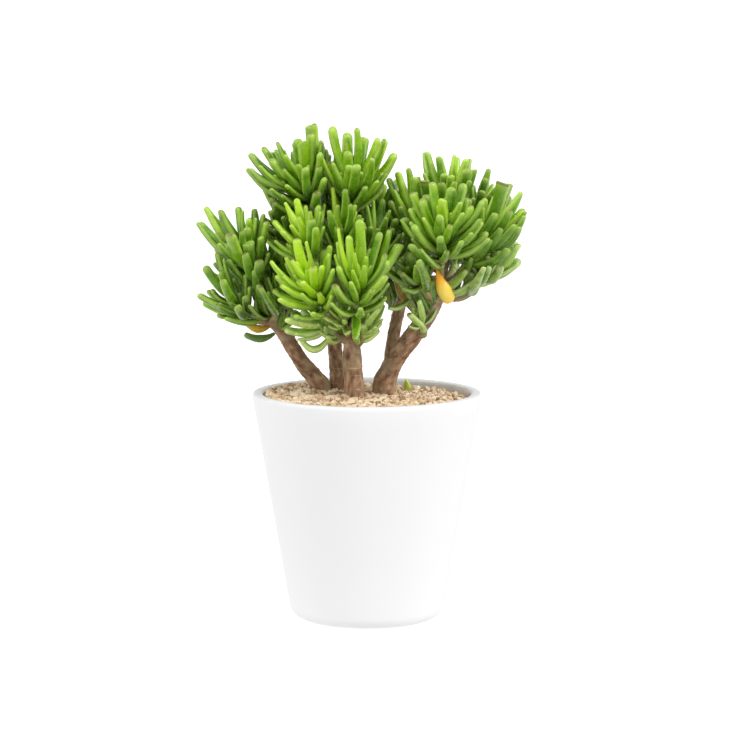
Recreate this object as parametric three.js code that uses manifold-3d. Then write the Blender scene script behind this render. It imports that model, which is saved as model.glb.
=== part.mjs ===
// Potted hobbit jade: a glazed pot, soil, gravel, four woody trunks and their shoots of finger-like leaves.
// Millimetres, +Z up. The origin is the middle of the underside of the pot, and -Y is the front.

import * as THREE from "three";
import { mergeVertices } from "three/addons/utils/BufferGeometryUtils.js";
import Module from "manifold-3d";

const wasm = await Module();
wasm.setup();

// Pot: a straight taper from a rounded foot to a rolled lip
const POT_HEIGHT = 179;
const RIM_RADIUS = 90;
const LIP_ROUND = 4.3;
const TABLE_RADIUS = 59.8;
const FOOT_ROUND = 11;
const FLOOR_TOP = 9;
const FLOOR_RADIUS = 51;
const MOUTH_RADIUS = 81.4;
const POT_SIDES = 44;

// Filling: heights above the table, and the gap left between touching pieces
const SOIL_TOP = 156;
const GRAVEL_TOP = 173;
const PIECE_GAP = 0.35;
const WALL_GAP = 0.95;
const PEBBLE_SPACING = 10;
const PEBBLE_SHIFT = 1.6;
const PEBBLE_RISE = 3.1;
const PEBBLE_DIP = 1.3;
const PEBBLE_SEED = 11;

// Wood: how far the trunks go down, and the size of the twigs that carry the shoots
const ROOT_DEPTH = -66;
const WOOD_SIDES = 7;
const WOOD_END_DOME = 1.5;
const RINGS_PER_SPAN = 1.5;
const TWIG_SIDES = 5;
const TWIG_RADIUS = 2.9;
const TWIG_ROOT_RADIUS = 4;
const TWIG_REACH = 12;
const TWIG_BEND = 0.45;
const LOWEST_TWIG = 0.2;
const HOLE_GAP = 0.4;

// Leaves: sizes, how they are set on a shoot, and the air kept round them
const LEAF_HALF_WIDTH = 4.2;
const LEAF_FLATNESS = 0.82;
const LEAF_SIDES = 4;
const LEAF_FOOT_SHARE = 0.42;
const LEAF_WIDEST_AT = 0.62;
const LEAF_TIP_AT = 0.93;
const LEAF_TIP_SHARE = 0.86;
const LEAF_DOME_SHARE = 0.62;
const INNER_PAIRS = 2;
const STRAIGHT_BOW = 1.6;
const STEM_TIP_RADIUS = 2.2;
const LOWEST_LEAF = 5.2;
const INNER_TILT = 8;
const OUTER_TILT = 70;
const PAIR_TURN = 90;
const TURN_PLAY = 24;
const TILT_PLAY = 12;
const PAIR_LIFT = 0.75;
const SEEN_SAG = 0.42;
const LEAF_AIR = 0.3;
const WOOD_AIR = 0.6;
const TIP_OVERLAP = 0.9;
const FOOT_OVERLAP = 3.2;

// Where the front view was taken from, measured from the middle of the rim
const EYE = new THREE.Vector3(-1.6, -2100, 287.7);

// The trunks: x, y, height above the rim, radius
const LIMBS = {
  left: [
    [-35, 33, ROOT_DEPTH, 8.2],
    [-36, 32, -6, 8.6],
    [-40, 30, 5, 7.8],
    [-51, 27, 19, 7],
    [-59, 22, 32, 6.7],
    [-66, 16, 45, 6.5],
    [-76, 10, 58, 6.1],
    [-81, 6, 69, 5.2],
  ],
  back: [
    [-24, 43, ROOT_DEPTH, 6.4],
    [-24, 42, -4, 6.8],
    [-25, 39, 23, 6.4],
    [-27, 36, 45, 6],
    [-29, 34, 69, 5.8],
    [-29, 32, 93, 5.4],
    [-30, 30, 117, 4.6],
  ],
  centre: [
    [-10, 2, ROOT_DEPTH, 8.6],
    [-10, 0, -5, 9.2],
    [-11, -3, 18, 8.1],
    [-12, -7, 38, 7.4],
    [-13, -10, 54, 6.8],
    [-13, -12, 74, 5.2],
  ],
  right: [
    [11, 21, ROOT_DEPTH, 9.4],
    [13, 20, -5, 10.5],
    [17, 16, 13, 8.8],
    [25, 11, 28, 8.2],
    [35, 6, 42, 8],
    [46, 0, 58, 7.4],
    [54, -5, 73, 6.4],
    [58, -9, 85, 5.2],
  ],
  right_upper: [
    [53, -4, 71, 4.6],
    [56, -1, 84, 4.8],
    [60, 3, 98, 4.4],
    [63, 8, 110, 3.8],
  ],
  right_thin: [
    [17, 17, 10, 5],
    [19, 24, 27, 5.6],
    [22, 30, 45, 5.4],
    [26, 36, 62, 5.2],
    [30, 40, 80, 4.8],
    [34, 42, 98, 4.2],
  ],
};

// The trunk nodes and the limbs each is made of
const TRUNKS = {
  trunk_left: ["left"],
  trunk_back: ["back"],
  trunk_centre: ["centre"],
  trunk_right: ["right", "right_upper", "right_thin"],
};

// The shoots: limb, foot and top of the green stem, leaf pairs, leaf length, and the leaf tips that are
// seen from the front. A seen tip is millimetres right of the middle and above the rim, then how far it
// leans back (1) or forward (-1).
const SHOOTS = {
  shoot_left_1: ["left", [-85, 0, 80], [-93, -5, 106], 6, 45,
    [[-133, 134, 0.1], [-126, 145, -0.4], [-113, 143, 0.4], [-101, 145, -0.2],
      [-94, 136, -0.7], [-88, 144, 0.3], [-81, 140, -0.3]]],
  shoot_left_2: ["left", [-88, -4, 59], [-100, -9, 70], 3, 40,
    [[-121, 110, 0.3], [-127, 98, -0.2], [-115, 94, -0.7], [-131, 76, -0.1], [-125, 80, 0.5]]],
  shoot_left_3: ["left", [-90, 28, 78], [-97, 40, 91], 5, 40, []],
  shoot_left_4: ["left", [-80, 10, 78], [-76, 14, 95], 5, 40, []],
  shoot_left_5: ["left", [-71, -4, 63], [-67, -6, 76], 4, 34, []],
  shoot_left_6: ["left", [-62, 12, 70], [-63, 6, 91], 5, 40, []],
  shoot_top_1: ["back", [-40, 18, 136], [-48, 5, 160], 7, 48,
    [[-94, 176, -0.2], [-91, 187, 0.2], [-81, 192, -0.5], [-75, 188, 0.6], [-70, 196, -0.2],
      [-57, 196, 0.5], [-50, 196, -0.8], [-46, 209, 0.1], [-43, 190, -0.8]]],
  shoot_top_2: ["back", [-17, 12, 130], [-11, 0, 159], 7, 48,
    [[-35, 184, -0.6], [-26, 207, 0.2], [-16, 201, -0.2], [-9, 205, 0.3], [-3, 199, -0.5],
      [9, 198, 0.4], [13, 197, -0.2], [23, 186, -0.1], [16, 176, 0.4], [5, 184, -0.8], [-27, 180, -0.9]]],
  shoot_top_3: ["back", [-29, 40, 136], [-29, 45, 160], 6, 42, []],
  shoot_top_4: ["back", [-49, 25, 114], [-63, 22, 130], 5, 42,
    [[-90, 163, 0.1], [-82, 168, 0.5], [-72, 170, -0.6], [-84, 150, -0.5]]],
  shoot_top_5: ["back", [-2, 35, 117], [12, 35, 142], 6, 42, []],
  shoot_top_6: ["back", [-22, 62, 97], [-18, 75, 114], 5, 42, []],
  shoot_top_7: ["back", [-46, 55, 97], [-56, 66, 114], 5, 42, []],
  shoot_centre_1: ["centre", [-30, -35, 67], [-40, -50, 85], 6, 46,
    [[-76, 104, -0.2], [-74, 80, -0.3], [-59, 104, -0.5], [-55, 120, 0.2], [-42, 98, -0.8],
      [-30, 109, -0.5], [-29, 115, 0.2]]],
  shoot_centre_2: ["centre", [-9, -42, 65], [-7, -55, 86], 6, 48,
    [[-23, 119, -0.4], [-23, 131, 0.2], [-14, 122, -0.7], [-6, 135, 0], [10, 125, -0.3],
      [18, 129, 0.4], [25, 116, -0.5], [-2, 100, -0.9], [-9, 100, -0.9]]],
  shoot_centre_3: ["centre", [-38, -25, 98], [-46, -27, 122], 6, 42,
    [[-64, 149, -0.3], [-55, 151, 0.3], [-54, 138, -0.8], [-38, 145, 0.2], [-43, 135, -0.7],
      [-66, 126, -0.5]]],
  shoot_centre_4: ["centre", [-21, -18, 98], [-21, -17, 121], 5, 42,
    [[-27, 161, 0.1], [-17, 159, -0.1], [-23, 147, -0.7], [-9, 147, -0.4], [-30, 143, -0.5]]],
  shoot_centre_5: ["centre", [-1, -8, 93], [5, -5, 114], 5, 42,
    [[5, 151, -0.1], [12, 151, 0.2], [0, 147, -0.5], [18, 143, -0.2]]],
  shoot_centre_6: ["centre", [-27, -17, 49], [-34, -22, 58], 3, 32,
    [[-60, 58, -0.8], [-63, 49, -0.2], [-53, 37, -0.3]]],
  shoot_centre_7: ["centre", [-3, -19, 47], [-1, -24, 58], 3, 30,
    [[10, 70, -0.4], [13, 74, 0.2], [10, 53, -0.2]]],
  shoot_centre_8: ["centre", [-12, 12, 71], [-13, 25, 86], 5, 38, []],
  shoot_centre_9: ["centre", [-16, -26, 52], [-19, -36, 62], 3, 32, []],
  shoot_right_1: ["right", [57, -32, 103], [59, -45, 126], 7, 48,
    [[34, 141, -0.2], [35, 121, -0.4], [44, 137, -0.7], [58, 151, -0.8], [66, 159, 0.1],
      [51, 164, 0.3], [73, 149, -0.6], [81, 145, -0.3]]],
  shoot_right_2: ["right", [74, -16, 98], [86, -16, 116], 6, 46,
    [[92, 151, -0.4], [100, 153, 0.2], [108, 165, 0], [119, 157, 0.3], [122, 143, -0.2],
      [105, 129, -0.8]]],
  shoot_right_3: ["right_upper", [59, 4, 123], [63, 8, 149], 6, 44,
    [[47, 188, 0.1], [56, 184, -0.4], [68, 186, 0.2], [77, 182, -0.2], [83, 174, 0.3],
      [45, 166, -0.6]]],
  shoot_right_4: ["right_upper", [41, 2, 112], [37, 4, 132], 6, 42,
    [[24, 172, 0.1], [33, 174, 0.4], [18, 168, -0.2], [21, 159, -0.7], [37, 168, -0.6]]],
  shoot_right_5: ["right", [83, -9, 82], [93, -10, 98], 4, 38,
    [[116, 117, -0.4], [112, 127, 0.2], [106, 96, -0.9], [120, 116, 0.3]]],
  shoot_right_6: ["right_upper", [78, 24, 118], [88, 30, 143], 5, 42,
    [[94, 174, -0.2], [91, 168, -0.7], [98, 163, 0.2]]],
  shoot_right_7: ["right", [44, -22, 83], [38, -28, 95], 4, 38, []],
  shoot_right_8: ["right", [74, 3, 78], [86, 6, 83], 3, 34, []],
  shoot_right_9: ["right_thin", [68, 40, 92], [75, 58, 107], 5, 42, []],
  shoot_right_10: ["right_thin", [46, 48, 96], [46, 62, 111], 5, 42, []],
  shoot_right_11: ["right", [44, -12, 50], [41, -18, 60], 2, 26, []],
  shoot_right_12: ["right", [35, -12, 70], [31, -15, 82], 3, 34,
    [[28, 106, -0.2], [38, 107, 0.3], [22, 90, -0.3], [44, 96, -0.7]]],
  shoot_right_13: ["right_thin", [14, 18, 82], [15, 12, 106], 5, 40, []],
};

// The odd leaves: foot, middle, tip, half width
const ODD_LEAVES = {
  leaf_orange: [[53.5, -34.8, 101], [55, -43, 91], [63, -38, 77], 5.2],
  leaf_yellow: [[36.5, -3.6, 63.5], [28, -8, 76], [21, -8, 90], 3.6],
  leaf_brown: [[-77, 7, 51], [-86, 2, 46], [-96, -4, 55], 3.2],
  leaf_low: [[-73, 9.5, 45], [-83, 4, 38], [-95, -1, 45], 3.4],
  leaf_fallen: [[33, 42, -9], [33, 38, -2], [31, 33, 5], 3],
};

// Azimuth and tilt in degrees and length, tried in this order until a leaf has room
const TRIES = [
  [0, 0, 1], [15, 0, 1], [-15, 0, 1], [0, -12, 1], [30, 0, 1], [-30, 0, 1], [0, 12, 0.92],
  [20, -14, 0.92], [-20, -14, 0.92], [0, -22, 0.85], [42, -6, 0.85], [-42, -6, 0.85],
  [0, 0, 0.72], [25, -15, 0.72], [-25, -15, 0.72],
];

// Leans, and millimetres down the stem, tried in this order for a leaf whose tip is seen
const SEEN_LEANS = [0, 0.2, -0.2, 0.4, -0.4, 0.65, -0.65, 0.9, -0.9, 1.3];
const SEEN_DROPS = [0, 3.5, -3.5, 7, 10.5];
const SEEN_TRIES = SEEN_LEANS.flatMap((lean) => SEEN_DROPS.map((drop) => [lean, drop]));

const COLOURS = {
  pot: ["#f3f3f1", 0.2],
  soil: ["#4a3526", 0.95],
  gravel: ["#c9ab86", 0.9],
  wood: ["#7a5540", 0.85],
  leaf: ["#6fa52a", 0.45],
  leaf_orange: ["#f0a63a", 0.5],
  leaf_yellow: ["#b89a35", 0.55],
  leaf_brown: ["#a8863a", 0.6],
  leaf_low: ["#4f7f2a", 0.45],
  leaf_fallen: ["#a9c47a", 0.5],
};

const UP = new THREE.Vector3(0, 0, 1);
const EAST = new THREE.Vector3(1, 0, 0);
const DEGREE = Math.PI / 180;

// A seeded source of numbers from 0 to 1.
function seeded(seed) {
  let state = seed >>> 0;
  return () => {
    state = (state + 0x6d2b79f5) >>> 0;
    let t = Math.imul(state ^ (state >>> 15), state | 1);
    t ^= t + Math.imul(t ^ (t >>> 7), t | 61);
    return ((t ^ (t >>> 14)) >>> 0) / 4294967296;
  };
}

// A point given above the rim, in the frame of the part.
function aboveRim([x, y, height]) {
  return new THREE.Vector3(x, y, POT_HEIGHT + height);
}

// A three.js geometry as a solid that can be joined and cut.
function solid(geometry) {
  const bare = new THREE.BufferGeometry();
  bare.setAttribute("position", geometry.getAttribute("position").clone());
  bare.setIndex(geometry.index ? geometry.index.clone() : null);
  const merged = mergeVertices(bare, 1e-4);
  return new wasm.Manifold(
    new wasm.Mesh({
      numProp: 3,
      vertProperties: new Float32Array(merged.getAttribute("position").array),
      triVerts: new Uint32Array(merged.index.array),
    }),
  );
}

// The largest body of a solid: what fusing sealed is filled, and loose scraps go.
function mainBody(whole) {
  const bodies = whole.decompose();
  return bodies.reduce((a, b) => (b.volume() > a.volume() ? b : a));
}

// A solid as a named mesh.
function meshOf(name, whole, [colour, roughness]) {
  const made = mainBody(whole).simplify(0.002).getMesh();
  const positions = new Float32Array(made.numVert * 3);
  for (let i = 0; i < made.numVert; i += 1) {
    positions.set(made.vertProperties.subarray(i * made.numProp, i * made.numProp + 3), i * 3);
  }
  const geometry = new THREE.BufferGeometry();
  geometry.setAttribute("position", new THREE.BufferAttribute(positions, 3));
  geometry.setIndex(new THREE.BufferAttribute(new Uint32Array(made.triVerts), 1));
  geometry.computeVertexNormals();
  const material = new THREE.MeshStandardMaterial({ color: colour, roughness, metalness: 0 });
  const mesh = new THREE.Mesh(geometry, material);
  mesh.name = name;
  return mesh;
}

// A closed tube through rings of { centre, along, half, flat }, with its ends pushed out into blunt domes.
function tube(rings, across, sides, footDome, tipDome) {
  const geometry = new THREE.CylinderGeometry(1, 1, 1, sides, rings.length - 1);
  const spots = geometry.getAttribute("position");
  const last = rings.length - 1;
  for (let i = 0; i < spots.count; i += 1) {
    const x = spots.getX(i);
    const z = spots.getZ(i);
    const at = Math.round((spots.getY(i) + 0.5) * last);
    const { centre, along, half, flat } = rings[at];
    const side = across.clone().addScaledVector(along, -across.dot(along)).normalize();
    const face = side.clone().cross(along);
    const spot = centre.clone();
    if (Math.hypot(x, z) > 0.5) {
      spot.addScaledVector(side, x * half).addScaledVector(face, z * half * flat);
    } else {
      spot.addScaledVector(along, at === 0 ? -footDome : tipDome);
    }
    spots.setXYZ(i, spot.x, spot.y, spot.z);
  }
  return solid(geometry);
}

// Rods stand for wood and leaves while the air between pieces is measured.
function rod(a, b, ra, rb, owner, kind, step) {
  return { a, b, ra, rb, owner, kind, step };
}

// The air between two rods, at the closest point of their middle lines.
function air(p, q) {
  const d1 = p.b.clone().sub(p.a);
  const d2 = q.b.clone().sub(q.a);
  const r = p.a.clone().sub(q.a);
  const a = d1.dot(d1);
  const e = d2.dot(d2);
  const f = d2.dot(r);
  const c = d1.dot(r);
  const b = d1.dot(d2);
  const below = a * e - b * b;
  let s = below > 1e-9 ? THREE.MathUtils.clamp((b * f - c * e) / below, 0, 1) : 0;
  let t = (b * s + f) / e;
  if (t < 0) {
    t = 0;
    s = THREE.MathUtils.clamp(-c / a, 0, 1);
  } else if (t > 1) {
    t = 1;
    s = THREE.MathUtils.clamp((b - c) / a, 0, 1);
  }
  const near = p.a.clone().addScaledVector(d1, s);
  const far = q.a.clone().addScaledVector(d2, t);
  return near.distanceTo(far) - (p.ra + (p.rb - p.ra) * s) - (q.ra + (q.rb - q.ra) * t);
}

// A smooth line through the points of a limb, with its radius.
class Limb {
  constructor(table) {
    this.points = table.map(aboveRim);
    this.radii = table.map((row) => row[3]);
    this.spans = table.length - 1;
  }

  at(t) {
    const scaled = Math.min(t, 0.999999) * this.spans;
    const i = Math.floor(scaled);
    const u = scaled - i;
    const p = [i - 1, i, i + 1, i + 2].map(
      (k) => this.points[THREE.MathUtils.clamp(k, 0, this.spans)],
    );
    const weights = [
      (-u * u * u + 2 * u * u - u) / 2,
      (3 * u * u * u - 5 * u * u + 2) / 2,
      (-3 * u * u * u + 4 * u * u + u) / 2,
      (u * u * u - u * u) / 2,
    ];
    const spot = new THREE.Vector3();
    weights.forEach((weight, k) => spot.addScaledVector(p[k], weight));
    return spot;
  }

  along(t) {
    return this.at(Math.min(t + 0.01, 1)).sub(this.at(Math.max(t - 0.01, 0))).normalize();
  }

  radius(t) {
    const scaled = Math.min(t, 0.999999) * this.spans;
    const i = Math.floor(scaled);
    return this.radii[i] + (this.radii[i + 1] - this.radii[i]) * (scaled - i);
  }

  rings(grow) {
    const last = Math.ceil(RINGS_PER_SPAN * this.spans);
    return Array.from({ length: last + 1 }, (_, k) => {
      const t = k / last;
      return { centre: this.at(t), along: this.along(t), half: this.radius(t) + grow, flat: 1 };
    });
  }

  nearest(point) {
    let best = 0;
    for (let k = 0; k <= 60; k += 1) {
      if (this.at(k / 60).distanceTo(point) < this.at(best).distanceTo(point)) best = k / 60;
    }
    return best;
  }
}

// A point on the curve from a to c that leans towards b.
function bent({ a, b, c }, t) {
  const spot = a.clone().multiplyScalar((1 - t) * (1 - t));
  return spot.addScaledVector(b, 2 * t * (1 - t)).addScaledVector(c, t * t);
}

function bentAlong({ a, b, c }, t) {
  const slope = b.clone().sub(a).multiplyScalar(1 - t);
  return slope.addScaledVector(c.clone().sub(b), t).normalize();
}

// Half the width of a leaf: narrow at its foot, widest near its blunt tip.
function leafHalf(half, t) {
  const rise = THREE.MathUtils.clamp(t / LEAF_WIDEST_AT, 0, 1);
  return half * (LEAF_FOOT_SHARE + (1 - LEAF_FOOT_SHARE) * rise * (2 - rise));
}

// The rods of a leaf.
function leafRods(leaf, owner) {
  const steps = [0, 0.24, 0.48, 0.72, 0.95];
  return steps.slice(1).map((t, k) =>
    rod(
      bent(leaf, steps[k]),
      bent(leaf, t),
      leafHalf(leaf.half, steps[k]),
      leafHalf(leaf.half, t),
      owner,
      "leaf",
      k,
    ),
  );
}

// How far the middle of a leaf bows away from a straight line.
function bow(leaf) {
  return leaf.a.clone().add(leaf.c).multiplyScalar(0.5).distanceTo(leaf.b) / 2;
}

// A leaf as a solid.
function leafSolid(leaf, grow = 0) {
  const stations = bow(leaf) > STRAIGHT_BOW ? [0, LEAF_TIP_AT * 0.56, LEAF_TIP_AT] : [0, LEAF_TIP_AT];
  const rings = stations.map((t) => ({
    centre: bent(leaf, t),
    along: bentAlong(leaf, t),
    half: leafHalf(leaf.half, t) * (t === LEAF_TIP_AT ? LEAF_TIP_SHARE : 1) + grow,
    flat: LEAF_FLATNESS,
  }));
  return tube(rings, leaf.side, LEAF_SIDES, grow, leaf.half * LEAF_DOME_SHARE + grow);
}

// One shoot: the green stem and the directions its leaves are set out in.
class Shoot {
  constructor(name, index, [limb, foot, top, pairs, leaf, seen]) {
    this.name = name;
    this.limb = limb;
    this.foot = aboveRim(foot);
    this.top = aboveRim(top);
    this.axis = this.top.clone().sub(this.foot).normalize();
    this.length = this.top.distanceTo(this.foot);
    this.pairs = pairs;
    this.leaf = leaf;
    this.seen = seen;
    this.draw = seeded(101 * index + 7);
    this.turn = this.draw() * 180;
    this.east = new THREE.Vector3(0, -1, 0).cross(this.axis).normalize();
    this.north = this.axis.clone().cross(this.east);
    this.leaves = [];
  }

  // The leaf whose tip is seen at right, up from the front.
  seenLeaf([right, up, lean], [leanMore, drop], draws) {
    const length = this.leaf * (0.9 + 0.12 * draws[0]);
    const flatTip = new THREE.Vector3(right, 0, POT_HEIGHT + up);
    const eye = EYE.clone().setZ(EYE.z + POT_HEIGHT);
    const ray = flatTip.clone().sub(eye);
    const side = THREE.MathUtils.clamp(lean + leanMore, -1, 1);
    let root = this.top.clone();
    let tip = flatTip.clone();
    for (let k = 0; k < 6; k += 1) {
      const flat = Math.hypot(tip.x - root.x, tip.z - root.z);
      const deep = root.y + side * Math.sqrt(Math.max(0, length * length - flat * flat));
      tip = eye.clone().addScaledVector(ray, (deep - eye.y) / ray.y);
      const spread = tip.clone().sub(root).angleTo(this.axis) / DEGREE;
      const lowest = this.length - LOWEST_LEAF;
      const down = THREE.MathUtils.clamp((spread / 90) * lowest + drop, 0, lowest);
      root = this.top.clone().addScaledVector(this.axis, -down);
    }
    const chord = tip.clone().sub(root);
    const spread = chord.angleTo(this.axis);
    const start = chord.clone().normalize();
    start.addScaledVector(UP, -SEEN_SAG * Math.sin(spread)).normalize();
    const middle = root.clone().addScaledVector(start, chord.length() * 0.5);
    return this.finish(root, middle, tip, draws[1], false);
  }

  // A leaf of a pair, numbered from the top of the stem down.
  pairLeaf(pair, second, [turnMore, tiltMore, shorter], draws) {
    const age = this.pairs > 1 ? pair / (this.pairs - 1) : 0;
    const down = Math.pow(age, 0.85) * (this.length - LOWEST_LEAF);
    const root = this.top.clone().addScaledVector(this.axis, -down);
    const play = TURN_PLAY * (draws[0] - 0.5);
    const turn = (this.turn + PAIR_TURN * pair + 180 * second + turnMore + play) * DEGREE;
    const open = INNER_TILT + (OUTER_TILT - INNER_TILT) * Math.pow(age, 0.8);
    const tilt = Math.max(4, open + tiltMore + TILT_PLAY * (draws[1] - 0.5)) * DEGREE;
    const grown = Math.min(1, 0.46 + 0.24 * pair);
    const length = this.leaf * grown * shorter * (0.86 + 0.18 * draws[2]);
    const out = this.east.clone().multiplyScalar(Math.cos(turn));
    out.addScaledVector(this.north, Math.sin(turn));
    const start = this.axis.clone().multiplyScalar(Math.cos(tilt)).addScaledVector(out, Math.sin(tilt));
    const lift = PAIR_LIFT * Math.sin(tilt);
    const end = start.clone().addScaledVector(UP, lift * 0.7).addScaledVector(this.axis, lift * 0.3);
    const middle = root.clone().addScaledVector(start, length * 0.5);
    const tip = middle.clone().addScaledVector(end.normalize(), length * 0.5);
    const inner = pair < Math.min(INNER_PAIRS, this.pairs - 2);
    return this.finish(root, middle, tip, draws[3], inner);
  }

  finish(root, middle, tip, size, inner) {
    const chord = tip.clone().sub(root);
    const inward = this.axis.clone().addScaledVector(UP, 0.3);
    let side = chord.clone().cross(inward);
    if (side.length() < 0.2 * chord.length()) side = chord.clone().cross(this.east);
    const length = chord.length();
    const young = THREE.MathUtils.clamp(length / 34, 0.55, 1);
    return {
      a: root,
      b: middle,
      c: tip,
      side: side.normalize(),
      half: LEAF_HALF_WIDTH * young * (0.86 + 0.2 * size),
      inner,
    };
  }

  stem(grow = 0) {
    const start = this.foot.clone().addScaledVector(this.axis, PIECE_GAP / 2);
    const rings = [
      { centre: start, along: this.axis, half: TWIG_RADIUS + grow, flat: 1 },
      { centre: this.top, along: this.axis, half: STEM_TIP_RADIUS + grow, flat: 1 },
    ];
    return tube(rings, this.east, TWIG_SIDES, 0, 1.5);
  }
}

// The twig that carries a shoot, from its limb to the foot of the stem.
function twigCurve(shoot, limb) {
  const behind = shoot.foot.clone().addScaledVector(shoot.axis, -TWIG_REACH);
  const t = Math.max(LOWEST_TWIG, limb.nearest(behind) - 0.02);
  const a = limb.at(t);
  const c = shoot.foot.clone().addScaledVector(shoot.axis, -PIECE_GAP / 2);
  const b = c.clone().addScaledVector(shoot.axis, -TWIG_BEND * a.distanceTo(c));
  return { a, b, c };
}

function twigSolid(curve, shoot) {
  const rings = [0, 0.55, 1].map((t) => ({
    centre: bent(curve, t),
    along: t === 1 ? shoot.axis : bentAlong(curve, t),
    half: TWIG_ROOT_RADIUS + (TWIG_RADIUS - TWIG_ROOT_RADIUS) * t,
    flat: 1,
  }));
  return tube(rings, shoot.east, TWIG_SIDES, 0, 0);
}

// The rods of every limb.
function limbRods(limbs) {
  return Object.values(limbs).flatMap((limb) => {
    const steps = 3 * limb.spans;
    return Array.from({ length: steps }, (_, k) => {
      const [from, to] = [k / steps, (k + 1) / steps];
      return rod(limb.at(from), limb.at(to), limb.radius(from), limb.radius(to), "wood", "wood", k);
    });
  });
}

// The rods of a twig and of the stem on it.
function twigRods(curve, shoot) {
  const [thick, thin] = [0.9 * TWIG_ROOT_RADIUS, 1.1 * TWIG_RADIUS];
  const rods = [0, 1, 2].map((k) =>
    rod(bent(curve, k / 3), bent(curve, (k + 1) / 3), thick, thin, shoot.name, "twig", k),
  );
  return [...rods, rod(shoot.foot, shoot.top, TWIG_RADIUS, STEM_TIP_RADIUS, shoot.name, "stem", 0)];
}

// Whether a leaf has air all round it.
function hasRoom(leaf, owner, rods) {
  const own = leafRods(leaf, owner);
  return own.every((mine) =>
    rods.every((other) => {
      if (other.owner === owner) {
        if (other.kind === "stem") return true;
        if (other.kind === "twig") return mine.step === 0 || air(mine, other) > WOOD_AIR;
        const nearest = Math.min(mine.step, other.step);
        return nearest === 0 || air(mine, other) > (nearest === 1 ? -FOOT_OVERLAP : -TIP_OVERLAP);
      }
      return air(mine, other) > (other.kind === "leaf" ? LEAF_AIR : WOOD_AIR);
    }),
  );
}

// Sets out every leaf: first those whose tips are seen, then the pairs from the youngest down.
function growLeaves(shoots, rods) {
  const settle = (shoot, make, tries) => {
    const leaf = tries.map((attempt) => make(attempt)).find((l) => hasRoom(l, shoot.name, rods));
    if (!leaf) return;
    shoot.leaves.push(leaf);
    rods.push(...leafRods(leaf, shoot.name));
  };
  shoots.forEach((shoot) =>
    shoot.seen.forEach((tip) => {
      const draws = [shoot.draw(), shoot.draw()];
      settle(shoot, (attempt) => shoot.seenLeaf(tip, attempt, draws), SEEN_TRIES);
    }),
  );
  const most = Math.max(...shoots.map((shoot) => shoot.pairs));
  for (let pair = 0; pair < most; pair += 1) {
    shoots.forEach((shoot) => {
      if (pair >= shoot.pairs) return;
      [0, 1].forEach((second) => {
        const draws = [shoot.draw(), shoot.draw(), shoot.draw(), shoot.draw()];
        settle(shoot, (attempt) => shoot.pairLeaf(pair, second, attempt, draws), TRIES);
      });
    });
  }
}

// Radius of the inside wall of the pot at a height.
function wallRadius(height) {
  const share = (height - FLOOR_TOP) / (POT_HEIGHT - LIP_ROUND - FLOOR_TOP);
  return FLOOR_RADIUS + (MOUTH_RADIUS - FLOOR_RADIUS) * share;
}

// A turned solid from a profile of radius and height, read from the axis out and round.
function turned(profile) {
  const points = profile.map(([radius, height]) => new THREE.Vector2(radius, height));
  const geometry = new THREE.LatheGeometry(points, POT_SIDES);
  geometry.rotateX(Math.PI / 2);
  return solid(geometry);
}

function potSolid() {
  const slope = Math.atan2(RIM_RADIUS - TABLE_RADIUS, POT_HEIGHT - LIP_ROUND);
  const footCentre = TABLE_RADIUS + FOOT_ROUND * Math.tan(slope) - FOOT_ROUND / Math.cos(slope);
  const profile = [[0, 0]];
  for (let k = 0; k <= 3; k += 1) {
    const turn = -Math.PI / 2 + ((Math.PI / 2 - slope) * k) / 3;
    profile.push([footCentre + FOOT_ROUND * Math.cos(turn), FOOT_ROUND * (1 + Math.sin(turn))]);
  }
  const lipCentre = [RIM_RADIUS - LIP_ROUND, POT_HEIGHT - LIP_ROUND];
  for (let k = 0; k <= 5; k += 1) {
    const turn = (Math.PI * k) / 5;
    profile.push([lipCentre[0] + LIP_ROUND * Math.cos(turn), lipCentre[1] + LIP_ROUND * Math.sin(turn)]);
  }
  profile.push([FLOOR_RADIUS + 1.5, FLOOR_TOP + 2], [FLOOR_RADIUS - 2, FLOOR_TOP], [0, FLOOR_TOP]);
  return turned(profile);
}

function soilSolid(holes) {
  const low = FLOOR_TOP + 2 + PIECE_GAP;
  const plug = turned([
    [0, low],
    [wallRadius(low) - WALL_GAP, low],
    [wallRadius(SOIL_TOP) - WALL_GAP, SOIL_TOP],
    [0, SOIL_TOP],
  ]);
  return plug.subtract(holes);
}

function gravelSolid(holes) {
  const low = SOIL_TOP + PIECE_GAP;
  const reach = wallRadius(GRAVEL_TOP) - WALL_GAP;
  const rings = Math.round(reach / PEBBLE_SPACING);
  const profile = [[0, low], [wallRadius(low) - WALL_GAP, low]];
  for (let k = rings; k >= 0; k -= 1) profile.push([(reach * k) / rings, GRAVEL_TOP]);
  const points = profile.map(([radius, height]) => new THREE.Vector2(radius, height));
  const geometry = new THREE.LatheGeometry(points, POT_SIDES);
  geometry.rotateX(Math.PI / 2);
  const draw = seeded(PEBBLE_SEED);
  const drawn = new Map();
  const spots = geometry.getAttribute("position");
  for (let i = 0; i < spots.count; i += 1) {
    const radius = Math.hypot(spots.getX(i), spots.getY(i));
    if (spots.getZ(i) < GRAVEL_TOP - 0.1 || radius > reach - 1) continue;
    const key = `${Math.round(spots.getX(i) * 20)} ${Math.round(spots.getY(i) * 20)}`;
    if (!drawn.has(key)) drawn.set(key, [draw(), draw(), draw()]);
    const [east, north, lift] = drawn.get(key);
    const play = Math.min(PEBBLE_SHIFT, radius * 0.05);
    const x = spots.getX(i) + play * (2 * east - 1);
    const y = spots.getY(i) + play * (2 * north - 1);
    spots.setXYZ(i, x, y, GRAVEL_TOP - PEBBLE_DIP + (PEBBLE_RISE + PEBBLE_DIP) * lift);
  }
  return solid(geometry).subtract(holes);
}

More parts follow.
